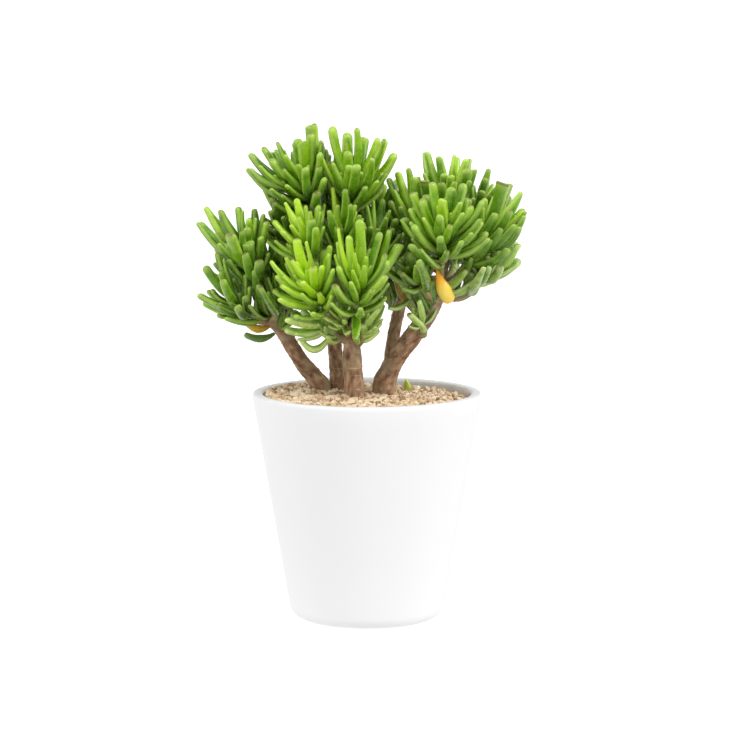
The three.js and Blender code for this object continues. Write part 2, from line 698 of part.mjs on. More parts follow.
function build() {
  const group = new THREE.Group();
  const limbs = Object.fromEntries(
    Object.entries(LIMBS).map(([name, table]) => [name, new Limb(table)]),
  );
  const shoots = Object.entries(SHOOTS).map(([name, row], index) => new Shoot(name, index, row));
  const twigs = new Map(shoots.map((shoot) => [shoot, twigCurve(shoot, limbs[shoot.limb])]));
  const rods = limbRods(limbs);
  twigs.forEach((curve, shoot) => rods.push(...twigRods(curve, shoot)));
  const odd = Object.entries(ODD_LEAVES).map(([name, [foot, middle, tip, half]]) => {
    const leaf = { a: aboveRim(foot), b: aboveRim(middle), c: aboveRim(tip), half };
    leaf.side = leaf.c.clone().sub(leaf.a).cross(new THREE.Vector3(0, -1, 0)).normalize();
    rods.push(...leafRods(leaf, name));
    return [name, leaf];
  });
  growLeaves(shoots, rods);

  group.add(meshOf("pot", potSolid(), COLOURS.pot));
  const holes = wasm.Manifold.union(
    ["left", "back", "centre", "right"].map((name) =>
      tube(limbs[name].rings(HOLE_GAP), EAST, WOOD_SIDES, HOLE_GAP, 0),
    ),
  );
  const fallen = leafSolid(odd.find(([name]) => name === "leaf_fallen")[1], PIECE_GAP);
  group.add(meshOf("soil", soilSolid(holes), COLOURS.soil));
  group.add(meshOf("gravel", gravelSolid(holes.add(fallen)), COLOURS.gravel));
  Object.entries(TRUNKS).forEach(([name, names]) => {
    const pieces = names.map((key) =>
      tube(limbs[key].rings(0), EAST, WOOD_SIDES, 0, WOOD_END_DOME),
    );
    twigs.forEach((curve, shoot) => {
      if (names.includes(shoot.limb)) pieces.push(twigSolid(curve, shoot));
    });
    group.add(meshOf(name, wasm.Manifold.union(pieces), COLOURS.wood));
  });
  shoots.forEach((shoot) => {
    const outer = shoot.leaves.filter((leaf) => !leaf.inner);
    const pieces = [shoot.stem(), ...outer.map((leaf) => leafSolid(leaf))];
    group.add(meshOf(shoot.name, wasm.Manifold.union(pieces), COLOURS.leaf));
  });
  odd.forEach(([name, leaf]) => group.add(meshOf(name, leafSolid(leaf), COLOURS[name])));
  return group;
}

export default build();
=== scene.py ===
"""Potted hobbit jade: the finished looks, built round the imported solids.

The leaves grow here by the same rule, seeds and tables as the solids, so each fine leaf stands where its
plain solid stands, and more are then added in between. Growth works in millimetres and finished meshes
are in metres. +Z is up, -Y is the front, and the origin is under the middle of the pot.
"""

import logging
import math
from collections.abc import Iterable
from dataclasses import dataclass, field
from enum import IntEnum

import bpy
import numpy as np
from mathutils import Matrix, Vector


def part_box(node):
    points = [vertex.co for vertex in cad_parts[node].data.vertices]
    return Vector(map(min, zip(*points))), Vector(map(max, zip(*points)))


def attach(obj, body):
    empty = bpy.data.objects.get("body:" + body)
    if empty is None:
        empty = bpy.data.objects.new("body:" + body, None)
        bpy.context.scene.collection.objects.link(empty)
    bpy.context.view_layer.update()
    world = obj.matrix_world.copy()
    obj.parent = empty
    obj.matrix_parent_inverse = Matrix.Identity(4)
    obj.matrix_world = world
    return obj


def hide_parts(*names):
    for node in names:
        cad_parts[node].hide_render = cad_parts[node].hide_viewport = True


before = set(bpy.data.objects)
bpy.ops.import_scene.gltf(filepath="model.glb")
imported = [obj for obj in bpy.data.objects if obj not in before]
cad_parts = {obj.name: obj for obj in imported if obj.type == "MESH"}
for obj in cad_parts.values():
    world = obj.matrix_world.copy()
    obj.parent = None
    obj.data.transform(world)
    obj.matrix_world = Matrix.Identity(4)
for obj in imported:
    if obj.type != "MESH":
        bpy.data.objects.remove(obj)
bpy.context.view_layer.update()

log = logging.getLogger("potted_jade")

Point = tuple[float, float, float]
Numbers = np.ndarray
Socket = bpy.types.NodeSocket
Colour = str | tuple[float, float, float, float]

MM = 0.001
DEGREE = math.pi / 180
DRAWN_TURN = (0, 6.28)
NEARLY_ONE = 0.999999
PLENTY = 99
UP = np.array((0.0, 0.0, 1.0))
FRONT = np.array((0.0, -1.0, 0.0))

# The pot's size comes from the frame. The rest of its profile repeats the source of the solids.
POT_HEIGHT = round(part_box("pot")[1].z / MM, 3)
RIM_RADIUS = round(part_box("pot")[1].x / MM, 3)
LIP_ROUND = 4.3
TABLE_RADIUS = 59.8
FOOT_ROUND = 11
FLOOR_TOP = 9
FLOOR_RADIUS = 51
MOUTH_RADIUS = RIM_RADIUS - 2 * LIP_ROUND
GRAVEL_TOP = 173

# Wood and twigs
ROOT_DEPTH = -66
TWIG_RADIUS = 2.9
TWIG_ROOT_RADIUS = 4
TWIG_REACH = 12
TWIG_BEND = 0.45
LOWEST_TWIG = 0.2
TWIG_SINK = 0.175
TWIG_LEAD = 0.02
LIMB_STEPS = 60
RODS_PER_SPAN = 3

# Leaves: sizes, how they are set on a shoot, and the air kept round them
LEAF_HALF_WIDTH = 4.2
LEAF_FLATNESS = 0.82
LEAF_FOOT_SHARE = 0.42
LEAF_WIDEST_AT = 0.62
LEAF_ROD_ENDS = (0, 0.24, 0.48, 0.72, 0.95)
GROWN_LENGTH = 34
YOUNGEST_WIDTH = 0.55
STEM_TIP_RADIUS = 2.2
LOWEST_LEAF = 5.2
INNER_TILT = 8
OUTER_TILT = 70
PAIR_TURN = 90
TURN_PLAY = 24
TILT_PLAY = 12
PAIR_LIFT = 0.75
SEEN_SAG = 0.42
LEAF_AIR = 0.3
WOOD_AIR = 0.6
TIP_OVERLAP = 0.9
FOOT_OVERLAP = 3.2

# Shares of a length or a width, and what a drawn number or the number of the pair adds to them
SEEN_LENGTH = (0.9, 0.12)
PAIR_LENGTH = (0.86, 0.18)
PAIR_GROWTH = (0.46, 0.24)
LEAF_WIDTH = (0.86, 0.2)

# Seeds: a step for each shoot, and a start
GROWTH_SEED = (101, 7)
BETWEEN_SEED = (977, 5)
FINE_SEED = (313, 29)
ODD_OWNER = 1000

# The camera, in the frame of the part
EYE = np.array((-1.6, -2100.0, 287.7 + POT_HEIGHT))
CAMERA_PITCH = 7.235
CAMERA_LENS = 132.78
CAMERA_SENSOR = 36

# The trunks: x, y, height above the rim, radius
LIMBS: dict[str, list[tuple[float, float, float, float]]] = {
    "left": [
        (-35, 33, ROOT_DEPTH, 8.2), (-36, 32, -6, 8.6), (-40, 30, 5, 7.8), (-51, 27, 19, 7),
        (-59, 22, 32, 6.7), (-66, 16, 45, 6.5), (-76, 10, 58, 6.1), (-81, 6, 69, 5.2),
    ],
    "back": [
        (-24, 43, ROOT_DEPTH, 6.4), (-24, 42, -4, 6.8), (-25, 39, 23, 6.4), (-27, 36, 45, 6),
        (-29, 34, 69, 5.8), (-29, 32, 93, 5.4), (-30, 30, 117, 4.6),
    ],
    "centre": [
        (-10, 2, ROOT_DEPTH, 8.6), (-10, 0, -5, 9.2), (-11, -3, 18, 8.1), (-12, -7, 38, 7.4),
        (-13, -10, 54, 6.8), (-13, -12, 74, 5.2),
    ],
    "right": [
        (11, 21, ROOT_DEPTH, 9.4), (13, 20, -5, 10.5), (17, 16, 13, 8.8), (25, 11, 28, 8.2),
        (35, 6, 42, 8), (46, 0, 58, 7.4), (54, -5, 73, 6.4), (58, -9, 85, 5.2),
    ],
    "right_upper": [(53, -4, 71, 4.6), (56, -1, 84, 4.8), (60, 3, 98, 4.4), (63, 8, 110, 3.8)],
    "right_thin": [
        (17, 17, 10, 5), (19, 24, 27, 5.6), (22, 30, 45, 5.4), (26, 36, 62, 5.2), (30, 40, 80, 4.8),
        (34, 42, 98, 4.2),
    ],
}

# The trunk nodes and the limbs each is made of
TRUNKS: dict[str, list[str]] = {
    "trunk_left": ["left"],
    "trunk_back": ["back"],
    "trunk_centre": ["centre"],
    "trunk_right": ["right", "right_upper", "right_thin"],
}

# The shoots: limb, foot and top of the green stem, leaf pairs, leaf length, and the leaf tips that are
# seen from the front. A seen tip is millimetres right of the middle and above the rim, then how far it
# leans back (1) or forward (-1).
SHOOTS: dict[str, list] = {
    "shoot_left_1": ["left", [-85, 0, 80], [-93, -5, 106], 6, 45,
        [[-133, 134, 0.1], [-126, 145, -0.4], [-113, 143, 0.4], [-101, 145, -0.2],
            [-94, 136, -0.7], [-88, 144, 0.3], [-81, 140, -0.3]]],
    "shoot_left_2": ["left", [-88, -4, 59], [-100, -9, 70], 3, 40,
        [[-121, 110, 0.3], [-127, 98, -0.2], [-115, 94, -0.7], [-131, 76, -0.1], [-125, 80, 0.5]]],
    "shoot_left_3": ["left", [-90, 28, 78], [-97, 40, 91], 5, 40, []],
    "shoot_left_4": ["left", [-80, 10, 78], [-76, 14, 95], 5, 40, []],
    "shoot_left_5": ["left", [-71, -4, 63], [-67, -6, 76], 4, 34, []],
    "shoot_left_6": ["left", [-62, 12, 70], [-63, 6, 91], 5, 40, []],
    "shoot_top_1": ["back", [-40, 18, 136], [-48, 5, 160], 7, 48,
        [[-94, 176, -0.2], [-91, 187, 0.2], [-81, 192, -0.5], [-75, 188, 0.6], [-70, 196, -0.2],
            [-57, 196, 0.5], [-50, 196, -0.8], [-46, 209, 0.1], [-43, 190, -0.8]]],
    "shoot_top_2": ["back", [-17, 12, 130], [-11, 0, 159], 7, 48,
        [[-35, 184, -0.6], [-26, 207, 0.2], [-16, 201, -0.2], [-9, 205, 0.3], [-3, 199, -0.5],
            [9, 198, 0.4], [13, 197, -0.2], [23, 186, -0.1], [16, 176, 0.4], [5, 184, -0.8],
            [-27, 180, -0.9]]],
    "shoot_top_3": ["back", [-29, 40, 136], [-29, 45, 160], 6, 42, []],
    "shoot_top_4": ["back", [-49, 25, 114], [-63, 22, 130], 5, 42,
        [[-90, 163, 0.1], [-82, 168, 0.5], [-72, 170, -0.6], [-84, 150, -0.5]]],
    "shoot_top_5": ["back", [-2, 35, 117], [12, 35, 142], 6, 42, []],
    "shoot_top_6": ["back", [-22, 62, 97], [-18, 75, 114], 5, 42, []],
    "shoot_top_7": ["back", [-46, 55, 97], [-56, 66, 114], 5, 42, []],
    "shoot_centre_1": ["centre", [-30, -35, 67], [-40, -50, 85], 6, 46,
        [[-76, 104, -0.2], [-74, 80, -0.3], [-59, 104, -0.5], [-55, 120, 0.2], [-42, 98, -0.8],
            [-30, 109, -0.5], [-29, 115, 0.2]]],
    "shoot_centre_2": ["centre", [-9, -42, 65], [-7, -55, 86], 6, 48,
        [[-23, 119, -0.4], [-23, 131, 0.2], [-14, 122, -0.7], [-6, 135, 0], [10, 125, -0.3],
            [18, 129, 0.4], [25, 116, -0.5], [-2, 100, -0.9], [-9, 100, -0.9]]],
    "shoot_centre_3": ["centre", [-38, -25, 98], [-46, -27, 122], 6, 42,
        [[-64, 149, -0.3], [-55, 151, 0.3], [-54, 138, -0.8], [-38, 145, 0.2], [-43, 135, -0.7],
            [-66, 126, -0.5]]],
    "shoot_centre_4": ["centre", [-21, -18, 98], [-21, -17, 121], 5, 42,
        [[-27, 161, 0.1], [-17, 159, -0.1], [-23, 147, -0.7], [-9, 147, -0.4], [-30, 143, -0.5]]],
    "shoot_centre_5": ["centre", [-1, -8, 93], [5, -5, 114], 5, 42,
        [[5, 151, -0.1], [12, 151, 0.2], [0, 147, -0.5], [18, 143, -0.2]]],
    "shoot_centre_6": ["centre", [-27, -17, 49], [-34, -22, 58], 3, 32,
        [[-60, 58, -0.8], [-63, 49, -0.2], [-53, 37, -0.3]]],
    "shoot_centre_7": ["centre", [-3, -19, 47], [-1, -24, 58], 3, 30,
        [[10, 70, -0.4], [13, 74, 0.2], [10, 53, -0.2]]],
    "shoot_centre_8": ["centre", [-12, 12, 71], [-13, 25, 86], 5, 38, []],
    "shoot_centre_9": ["centre", [-16, -26, 52], [-19, -36, 62], 3, 32, []],
    "shoot_right_1": ["right", [57, -32, 103], [59, -45, 126], 7, 48,
        [[34, 141, -0.2], [35, 121, -0.4], [44, 137, -0.7], [58, 151, -0.8], [66, 159, 0.1],
            [51, 164, 0.3], [73, 149, -0.6], [81, 145, -0.3]]],
    "shoot_right_2": ["right", [74, -16, 98], [86, -16, 116], 6, 46,
        [[92, 151, -0.4], [100, 153, 0.2], [108, 165, 0], [119, 157, 0.3], [122, 143, -0.2],
            [105, 129, -0.8]]],
    "shoot_right_3": ["right_upper", [59, 4, 123], [63, 8, 149], 6, 44,
        [[47, 188, 0.1], [56, 184, -0.4], [68, 186, 0.2], [77, 182, -0.2], [83, 174, 0.3],
            [45, 166, -0.6]]],
    "shoot_right_4": ["right_upper", [41, 2, 112], [37, 4, 132], 6, 42,
        [[24, 172, 0.1], [33, 174, 0.4], [18, 168, -0.2], [21, 159, -0.7], [37, 168, -0.6]]],
    "shoot_right_5": ["right", [83, -9, 82], [93, -10, 98], 4, 38,
        [[116, 117, -0.4], [112, 127, 0.2], [106, 96, -0.9], [120, 116, 0.3]]],
    "shoot_right_6": ["right_upper", [78, 24, 118], [88, 30, 143], 5, 42,
        [[94, 174, -0.2], [91, 168, -0.7], [98, 163, 0.2]]],
    "shoot_right_7": ["right", [44, -22, 83], [38, -28, 95], 4, 38, []],
    "shoot_right_8": ["right", [74, 3, 78], [86, 6, 83], 3, 34, []],
    "shoot_right_9": ["right_thin", [68, 40, 92], [75, 58, 107], 5, 42, []],
    "shoot_right_10": ["right_thin", [46, 48, 96], [46, 62, 111], 5, 42, []],
    "shoot_right_11": ["right", [44, -12, 50], [41, -18, 60], 2, 26, []],
    "shoot_right_12": ["right", [35, -12, 70], [31, -15, 82], 3, 34,
        [[28, 106, -0.2], [38, 107, 0.3], [22, 90, -0.3], [44, 96, -0.7]]],
    "shoot_right_13": ["right_thin", [14, 18, 82], [15, 12, 106], 5, 40, []],
}

# The odd leaves: foot, middle, tip, half width
ODD_LEAVES: dict[str, list] = {
    "leaf_orange": [[53.5, -34.8, 101], [55, -43, 91], [63, -38, 77], 5.2],
    "leaf_yellow": [[36.5, -3.6, 63.5], [28, -8, 76], [21, -8, 90], 3.6],
    "leaf_brown": [[-77, 7, 51], [-86, 2, 46], [-96, -4, 55], 3.2],
    "leaf_low": [[-73, 9.5, 45], [-83, 4, 38], [-95, -1, 45], 3.4],
    "leaf_fallen": [[33, 42, -9], [33, 38, -2], [31, 33, 5], 3],
}

# Azimuth and tilt in degrees and length, tried in this order until a leaf has room
TRIES: list[tuple[float, float, float]] = [
    (0, 0, 1), (15, 0, 1), (-15, 0, 1), (0, -12, 1), (30, 0, 1), (-30, 0, 1), (0, 12, 0.92),
    (20, -14, 0.92), (-20, -14, 0.92), (0, -22, 0.85), (42, -6, 0.85), (-42, -6, 0.85),
    (0, 0, 0.72), (25, -15, 0.72), (-25, -15, 0.72),
]

# Leans, and millimetres down the stem, tried in this order for a leaf whose tip is seen
SEEN_LEANS = [0, 0.2, -0.2, 0.4, -0.4, 0.65, -0.65, 0.9, -0.9, 1.3]
SEEN_DROPS = [0, 3.5, -3.5, 7, 10.5]
SEEN_TRIES = [(lean, drop) for lean in SEEN_LEANS for drop in SEEN_DROPS]

# More leaves, which only the scene has: millimetres right and above the rim of the tip and of the foot,
# how far the tip leans back (1) or forward (-1), the width, how bright the green is (partly the leaf's own
# green and partly painted light and shade, set to how lit or shaded it looks), and any extra sag
MORE_LEAVES: dict[str, list[tuple[float, ...]]] = {
    "shoot_left_1": [
        (-107, 124, -93, 94, -0.5, 8, 0.5), (-98, 127, -96, 104, -0.4, 6.5, 0.5),
        (-87, 137, -91, 108, -0.5, 7.5, 0.55), (-88, 144, -84, 118, 0.4, 7, 0.2),
        (-97, 143, -100, 118, 0.1, 5.5, 0.45), (-118, 125, -104, 104, -0.2, 6, 0.5),
        (-108, 104, -94, 80, -0.6, 7, 0.35), (-83, 122, -84, 98, -0.2, 6.5, 0.3),
        (-130.5, 133.5, -107.5, 107.5, 0.15, 9.5, 0.5), (-113, 142, -104, 116, -0.1, 8.5, 0.4),
        (-101.8, 145, -100, 118, 0.2, 7, 0.4), (-89, 144, -86, 118, 0.5, 6, 0.2),
    ],
    "shoot_left_2": [
        (-112, 105, -108, 84, 0, 6.5, 0.35), (-121, 80, -111, 66, 0.1, 5.5, 0.2),
        (-113, 88, -107, 68, -0.4, 7.5, 0.4), (-118, 69, -98, 56, -0.3, 7, 0.25),
        (-127, 71, -100, 60, 0.1, 9, 0.3), (-104, 71, -90, 56, -0.3, 7.5, 0.22),
        (-111, 58, -84, 56, -0.2, 8, 0.35), (-88, 64, -78, 56, -0.2, 7, 0.3),
        (-100, 78, -94, 62, -0.2, 6.5, 0.3), (-117.5, 109, -112, 88, -0.1, 7, 0.22),
        (-87, 72, -86, 56, -0.4, 7, 0.22),
    ],
    "shoot_left_4": [
        (-80, 108, -82, 80, 0.1, 6, 0.12), (-77, 100, -79, 74, -0.2, 6, 0.15),
        (-88, 96, -87, 70, -0.3, 7, 0.2), (-84, 84, -80, 60, -0.5, 7, 0.18),
    ],
    "shoot_left_5": [
        (-84, 83, -68, 61, -0.6, 7.5, 0.15, 2), (-78, 91, -65, 64, -0.4, 7, 0.2, 2),
        (-72, 82, -62, 64, -0.6, 6.5, 0.25), (-90, 80, -80, 59, -0.6, 8, 0.12),
        (-92, 68, -80, 56, -0.5, 7, 0.15), (-64, 76, -63, 60, -0.4, 6, 0.2),
        (-76, 74, -71, 55, -0.7, 6, 0.3), (-96, 62, -80, 54, -0.2, 6.5, 0.15),
        (-82, 71, -73, 53, -0.3, 8, 0.2), (-66, 70, -67, 52, -0.6, 7, 0.3),
        (-58, 70, -64, 54, -0.2, 7, 0.2), (-52, 62, -68, 50, 0.2, 7, 0.3),
    ],
    "shoot_left_6": [
        (-72, 92, -66, 70, -0.3, 6, 0.2), (-66, 96, -63, 74, -0.2, 6, 0.25),
        (-58, 80, -60, 62, -0.3, 6.5, 0.3),
    ],
    "shoot_top_4": [
        (-80, 166, -66, 132, 0.1, 6, 0.15), (-74, 156, -62, 128, -0.2, 6, 0.15),
        (-68, 160, -58, 134, 0.3, 6, 0.2), (-76, 142, -66, 118, -0.3, 6.5, 0.15),
        (-82, 136, -70, 114, 0.1, 5.5, 0.18), (-70, 130, -60, 108, -0.4, 6, 0.2),
        (-60, 140, -56, 116, -0.1, 6, 0.15), (-78, 124, -66, 106, -0.2, 5.5, 0.2),
    ],
    "shoot_top_1": [
        (-44, 202, -42, 166, -0.5, 7.5, 0.65), (-74, 181, -56, 160, -0.6, 9, 0.55),
        (-37, 187, -32, 162, -0.4, 8, 0.5), (-64, 186, -54, 164, -0.3, 6.5, 0.5),
        (-41, 210, -38, 178, 0.45, 10.5, 0.6), (-54, 197, -50, 170, 0.3, 8, 0.5),
        (-79, 190, -64, 162, 0, 7.5, 0.45), (-90, 187, -70, 164, 0, 7, 0.3),
        (-91, 175, -72, 158, 0.1, 8, 0.3), (-71, 190, -60, 164, 0.2, 6.5, 0.4),
        (-32, 190, -30, 164, 0.3, 7, 0.3), (-84, 178, -66, 158, -0.1, 7, 0.45),
        (-57.5, 189, -53, 166, 0.2, 5.5, 0.4), (-66, 166, -54, 150, -0.5, 6.5, 0.3),
        (-58, 157, -48, 140, -0.4, 6.5, 0.15), (-48, 176, -44, 152, -0.6, 7, 0.4),
    ],
    "shoot_top_2": [
        (-8, 207, -7, 168, 0, 6, 0.65), (-15, 188, -12, 156, -0.6, 8, 0.6),
        (12, 172, -2, 152, -0.3, 6.5, 0.3), (-8, 178, -8, 152, -0.75, 7, 0.5),
        (8, 188, -1, 162, 0.2, 6, 0.35), (-27, 206, -21, 172, -0.1, 9.5, 0.6),
        (13.3, 198.5, 6.5, 170, -0.2, 9, 0.6), (-1, 199, -3, 166, 0.1, 7, 0.45),
        (-15, 202, -14, 168, 0.1, 8, 0.5), (21, 186, 6, 158, 0.1, 7.5, 0.75),
        (-30, 180, -22, 152, -0.2, 7.5, 0.45), (4, 184, 0, 154, -0.4, 7.5, 0.55),
        (-36, 198, -24, 168, 0.3, 8, 0.2),
    ],
    "shoot_top_3": [
        (-36, 172, -32, 146, 0, 7, 0.15), (-34, 158, -32, 132, -0.2, 7, 0.15),
        (-22, 168, -26, 142, 0, 6.5, 0.15), (-42, 166, -36, 140, 0.1, 7, 0.15),
    ],
    "shoot_centre_3": [
        (-48, 146, -45, 122, -0.1, 7, 0.6), (-36, 120, -38, 100, -0.4, 6.5, 0.45),
        (-62, 116, -50, 100, -0.3, 6.5, 0.4),
    ],
    "shoot_centre_4": [(-17, 160, -17, 132, -0.1, 6.5, 0.55), (-13, 148, -15, 120, -0.3, 7, 0.4)],
    "shoot_centre_5": [
        (3, 130, -2, 104, -0.5, 6, 0.35), (15, 138, 9, 112, -0.3, 7, 0.15),
        (20, 128, 10, 104, -0.2, 7, 0.15),
    ],
    "shoot_centre_1": [
        (-48, 119, -38, 90, -0.5, 6.5, 0.8), (-47, 97, -43, 76, -0.85, 5.5, 1),
        (-57, 92, -42, 76, -0.7, 6.5, 0.6), (-50, 70, -34, 60, -0.6, 6.5, 0.65),
        (-66, 92, -46, 76, -0.4, 6, 0.75),
    ],
    "shoot_centre_2": [
        (-23, 131, -14, 80, -0.35, 5.5, 0.8), (-10, 111, -10, 80, -0.85, 5.5, 0.85),
        (14, 108, 3, 80, -0.5, 6, 0.4), (14, 74, -4, 62, -0.4, 8, 0.3), (-9, 41, -9, 66, -0.5, 7.5, 0.5),
        (-15, 45, -11, 66, -0.4, 7, 0.4), (0, 78, -7, 56, -0.5, 7, 0.5),
    ],
    "shoot_centre_6": [
        (-63, 57, -32, 54, -0.5, 9, 0.6), (-63, 48, -38, 46, -0.2, 6.5, 0.5),
        (-36, 62, -30, 46, -0.7, 7, 0.6), (-56, 46, -38, 47, -0.2, 7, 0.5),
        (-52, 42, -33, 43, 0, 7.5, 0.6, 16), (-38, 48, -26, 40, -0.6, 6.5, 0.6),
        (-31, 44, -26, 33, -0.6, 5.5, 0.6), (-46, 72, -31, 54, 0.3, 7, 0.3),
        (-37, 74, -27, 52, 0.3, 7, 0.25), (-50, 63, -34, 54, 0.4, 7, 0.3),
        (-58, 63, -42, 57, 0.3, 8, 0.35), (-34, 36, -28, 47, -0.2, 5, 0.5),
    ],
    "shoot_centre_9": [
        (-24, 72, -16, 48, -0.5, 7, 0.5), (-17, 74, -13, 50, -0.6, 7, 0.5),
        (-30, 74, -20, 48, -0.4, 7, 0.55), (-8, 70, -11, 46, -0.7, 6.5, 0.6),
        (-21, 71, -17, 48, 0.3, 7, 0.3), (-24, 56, -17, 36, -0.2, 6.5, 0.5),
    ],
    "shoot_centre_7": [
        (9, 66, -3, 52, -0.5, 7.5, 0.55), (11, 54, -3, 44, -0.3, 8.5, 0.5), (10, 70, -2, 54, 0.2, 7, 0.4),
        (0, 66, -6, 44, -0.6, 7, 0.6), (-10, 56, -8, 38, -0.7, 6.5, 0.6), (-5, 66, -5, 44, 0.4, 7, 0.3),
        (-14, 60, -10, 38, 0.2, 7, 0.3), (8, 48, -6, 40, -0.2, 6.5, 0.45),
    ],
    "shoot_right_1": [
        (56, 146, 57, 118, -0.6, 6, 0.6), (90, 150, 72, 118, -0.2, 7, 0.3),
        (90, 134, 70, 110, -0.5, 8, 0.5), (41, 113, 58, 98, -0.6, 7.5, 0.3),
        (75, 162, 68, 134, -0.2, 8.5, 0.3), (43, 150, 50, 122, -0.2, 8, 0.4),
    ],
    "shoot_right_2": [
        (106, 165, 92, 122, -0.2, 9.6, 0.35), (112, 143, 92, 116, -0.3, 7, 0.3),
        (109, 164, 98, 128, 0.2, 9, 0.25), (119, 157, 104, 130, 0.1, 7, 0.45),
        (124, 142, 108, 122, -0.1, 6.5, 0.4), (123, 139, 112, 108, 0.1, 8, 0.3),
        (119, 130, 106, 104, -0.1, 7, 0.35), (97, 120, 80, 98, -0.7, 7.5, 0.35),
        (116, 132, 94, 104, -0.3, 8, 0.35), (82, 106, 70, 86, -0.6, 7, 0.35),
    ],
    "shoot_right_5": [
        (104, 110, 90, 86, -0.5, 7.5, 0.3), (96, 93, 69, 78, -0.2, 7.5, 0.22),
        (92, 99, 76, 82, -0.6, 7, 0.25), (84, 86, 60, 74, -0.6, 7.5, 0.3),
        (78, 96, 62, 78, -0.5, 7.5, 0.3), (72, 92, 62, 74, 0, 7, 0.15), (105, 103, 87, 88, 0, 6, 0.3),
        (118, 117, 102, 90, -0.1, 8, 0.3, 2),
    ],
    "shoot_right_3": [
        (46, 170, 52, 148, -0.4, 6.5, 0.6), (60, 171, 60.5, 146, -0.4, 7, 0.5),
        (58, 182, 58, 152, 0.1, 8, 0.45), (70, 184, 66, 152, 0.1, 8.5, 0.6),
        (78, 174, 70, 148, -0.3, 8.5, 0.45), (84.5, 175, 74.5, 146, 0, 8, 0.35),
        (45, 188, 49, 156, 0.2, 7.5, 0.4), (80, 183, 76, 148, 0.1, 8, 0.25),
    ],
    "shoot_right_4": [
        (32, 176, 37, 142, 0.1, 7, 0.6), (17, 167.5, 28.5, 139, 0.1, 6, 0.5),
        (40, 169, 43, 140, 0.3, 7, 0.5), (43, 164, 42, 138, 0, 8, 0.4), (18, 150, 28, 124, -0.1, 7, 0.12),
        (26, 146, 32, 120, -0.4, 7, 0.12), (30, 136, 36, 112, -0.5, 7, 0.1),
    ],
    "shoot_right_13": [
        (22, 136, 18, 108, -0.1, 7, 0.08), (14, 140, 14, 112, 0, 7, 0.1),
        (28, 128, 22, 102, -0.2, 7, 0.08), (24, 112, 19, 90, -0.4, 7, 0.1), (18, 66, 20, 88, 0, 7, 0.15),
        (22, 72, 21, 92, 0, 7, 0.12), (30, 110, 22, 88, 0, 6.5, 0.08),
    ],
    "shoot_right_7": [
        (33, 109, 46, 82, -0.3, 7, 0.18), (40, 104, 48, 80, -0.6, 7, 0.22),
        (26, 104, 38, 86, -0.1, 6.5, 0.15), (47, 100, 50, 80, -0.5, 6, 0.2),
        (36, 86, 44, 66, -0.3, 7, 0.15), (44, 88, 48, 68, -0.5, 7, 0.2), (51, 88, 52, 70, -0.4, 7, 0.2),
        (30, 82, 39, 66, 0, 7, 0.12),
    ],
    "shoot_right_11": [(40.5, 72, 45.5, 54, -0.75, 5.8, 0.6), (33.5, 61, 45.5, 51, -0.75, 7, 0.42)],
    "shoot_right_6": [(95.5, 175, 92, 150, 0, 5, 0.5)],
    "shoot_right_8": [
        (76, 100, 68, 80, -0.5, 7, 0.3), (82, 94, 74, 80, -0.5, 6.5, 0.3),
        (90, 88, 66, 74, -0.4, 7.5, 0.22), (80, 82, 60, 70, -0.7, 7.5, 0.3),
    ],
}

# The shoots with no leaves between the pairs
SPARSE_SHOOTS = ("shoot_right_8", "shoot_right_11", "shoot_right_12")

# The tips, right and above the rim, of leaves that end in a plain cup
CUPPED_TIPS = [(25, 116), (106, 165), (-46, 209), (-50, 196)]

# Where no leaf between the pairs may show its tip: right, above the rim, and how far round
BARE_PLACES = [
    (-122, 108, 7), (-125, 92, 5), (122, 94, 8), (18, 53, 6), (17, 68, 4), (-66, 98, 4), (-122, 61, 4),
    (-62, 187, 2), (-79, 142, 4), (20, 171, 4), (-124, 101, 4), (12, 64, 4), (20, 86, 4), (110, 96, 5),
    (-84, 141, 4),
]

# Tips that the solids hold elsewhere than they are seen: where a tip is, where its fine leaf turns to, and
# for a slim leaf the share of its width
TURNED_TIPS = [
    (-90, 163, -83, 166), (-84, 150, -74, 152), (-125.1, 108.6, -117, 113), (-121, 110, -116, 108),
    (-119.6, 106.4, -115, 106), (-127.8, 90.2, -125, 97), (117.2, 97.5, 112, 105), (99.7, 89.2, 97, 93),
    (99.6, 81.7, 90, 89), (100.4, 76.1, 86, 84), (-67.3, 104.6, -62, 108), (106, 96, 105, 99),
    (-126, 145, -126.3, 145.5, 1.25), (-113, 143, -114.5, 142.5, 1.25), (-101, 145, -100.7, 145),
    (-94, 136, -92.5, 136), (-127, 98, -126.5, 98, 0.9), (-46, 209, -43.8, 209),
    (9, 198, 8.6, 198.7, 0.7), (13, 197, 14.3, 197.5, 1.5), (21.5, 173.6, 15.5, 172), (94, 174, 95, 175),
    (91, 168, 92.5, 167, 0.7), (119, 157, 120.2, 157.5), (-53, 37, -55, 41.5), (11, 60.6, 9, 65),
    (22, 90, 27, 99), (17, 89, 20, 99), (12, 77, 17, 66), (9, 89, 13, 98), (29, 86, 17, 86),
    (22, 85, 15, 84),
]


class Kind(IntEnum):
    """What a rod stands for while the air between pieces is measured."""

    WOOD = 0
    TWIG = 1
    STEM = 2
    LEAF = 3


class TipForm(IntEnum):
    """How a leaf ends: in a blunt dome, or in a small cup that opens towards the stem."""

    BLUNT = 0
    CUPPED = 1


def unit(vector: Numbers) -> Numbers:
    """The vector at length one."""
    return vector / np.linalg.norm(vector)


def clamp(value: float, low: float, high: float) -> float:
    """The value, kept between low and high."""
    return min(max(value, low), high)


def angle_between(first: Numbers, second: Numbers) -> float:
    """The angle between two vectors, in radians."""
    cosine = first @ second / math.sqrt((first @ first) * (second @ second))
    return math.acos(clamp(cosine, -1, 1))


def above_rim(place: Point) -> Numbers:
    """A point given above the rim, in the frame of the part, in millimetres."""
    return np.array((place[0], place[1], POT_HEIGHT + place[2]), float)


